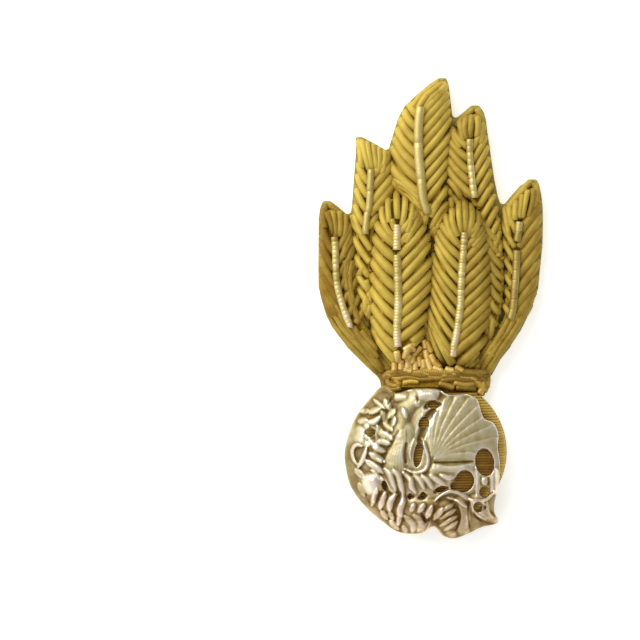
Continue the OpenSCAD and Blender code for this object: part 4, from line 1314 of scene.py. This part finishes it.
class BADGE_OT_studio(bpy.types.Operator):
    """Set the floor, the lights and the camera"""

    bl_idname = "badge.studio"
    bl_label = "Studio"

    KEY_PLACE = (-0.30, 0.30, 0.34)  # metres from the badge
    KEY_SIZE = 0.5  # metres
    FADE_FROM, FADE_TO = -0.5, 0.8  # across the sky, where its light starts to weaken and where it is weakest

    def execute(self, context):
        studio = props("studio")
        deselect()
        bpy.ops.mesh.primitive_plane_add(size=3)
        floor = bpy.context.object
        floor.name = "floor"
        floor.data.materials.append(light_table_material(tuple(studio.floor), studio.glow))
        self.key_light(studio.key)
        self.surround(context, studio)
        self.camera(context, studio)
        context.scene.view_settings.view_transform = "Standard"
        return {"FINISHED"}

    def surround(self, context, studio):
        """Soft light all round, weaker from the right."""
        world = bpy.data.worlds.new("Soft box")
        world.use_nodes = True
        tree = world.node_tree
        way = add_node(tree, "TexCoord", out="Generated")
        across = add_node(tree, "SeparateXYZ", {"Vector": way}, out="X")
        strength = add_node(tree, "MapRange", {
            "Value": across, "From Min": self.FADE_FROM, "From Max": self.FADE_TO,
            "To Min": studio.sky, "To Max": studio.sky * studio.shade})
        set_inputs(tree.nodes["Background"], {"Strength": strength, "Color": (1, 1, 1, 1)})
        context.scene.world = world

    def key_light(self, power):
        bpy.ops.object.light_add(type="AREA", location=self.KEY_PLACE)
        lamp = bpy.context.object
        lamp.name = "key"
        lamp.data.size = self.KEY_SIZE
        lamp.data.energy = power
        lamp.rotation_euler = (-Vector(self.KEY_PLACE)).to_track_quat("-Z", "Y").to_euler()

    def camera(self, context, studio):
        """A camera straight over the table, as in the photograph."""
        height = studio.camera_height
        bpy.ops.object.camera_add(location=(studio.centre_x, studio.centre_y, height), rotation=(0, 0, 0))
        camera = bpy.context.object
        above_badge = height - CAD_BOX[1].z / 2
        camera.data.lens = camera.data.sensor_width * above_badge / studio.frame_width
        camera.data.clip_start, camera.data.clip_end = 0.01, 10
        context.scene.camera = camera


OPERATORS = [BADGE_OT_studio, BADGE_OT_backing, BADGE_OT_pads, BADGE_OT_purl, BADGE_OT_veins, BADGE_OT_neck,
             BADGE_OT_ball, BADGE_OT_emblem]


class BADGE_PT_panel(bpy.types.Panel):
    """The badge's pieces and their sizes"""

    bl_idname = "BADGE_PT_panel"
    bl_label = "Collar badge"
    bl_space_type = "VIEW_3D"
    bl_region_type = "UI"
    bl_category = "Badge"

    def draw(self, context):
        for part, group in PROPS.items():
            box = self.layout.box()
            box.label(text=part.title())
            for key in group.__annotations__:
                box.prop(props(part), key)
        for operator in OPERATORS:
            self.layout.operator(operator.bl_idname)


def register():
    for kind in [*PROPS.values(), *OPERATORS, BADGE_PT_panel]:
        bpy.utils.register_class(kind)
    for part, group in PROPS.items():
        setattr(bpy.types.Scene, "badge_" + part, PointerProperty(type=group))


def unregister():
    for part in PROPS:
        delattr(bpy.types.Scene, "badge_" + part)
    for kind in [BADGE_PT_panel, *OPERATORS[::-1], *list(PROPS.values())[::-1]]:
        bpy.utils.unregister_class(kind)


def main():
    register()
    bpy.ops.badge.studio()
    bpy.ops.badge.backing()
    bpy.ops.badge.pads()
    bpy.ops.badge.purl()
    bpy.ops.badge.veins()
    bpy.ops.badge.neck()
    bpy.ops.badge.ball()
    bpy.ops.badge.emblem()


if __name__ == "__main__":
    main()
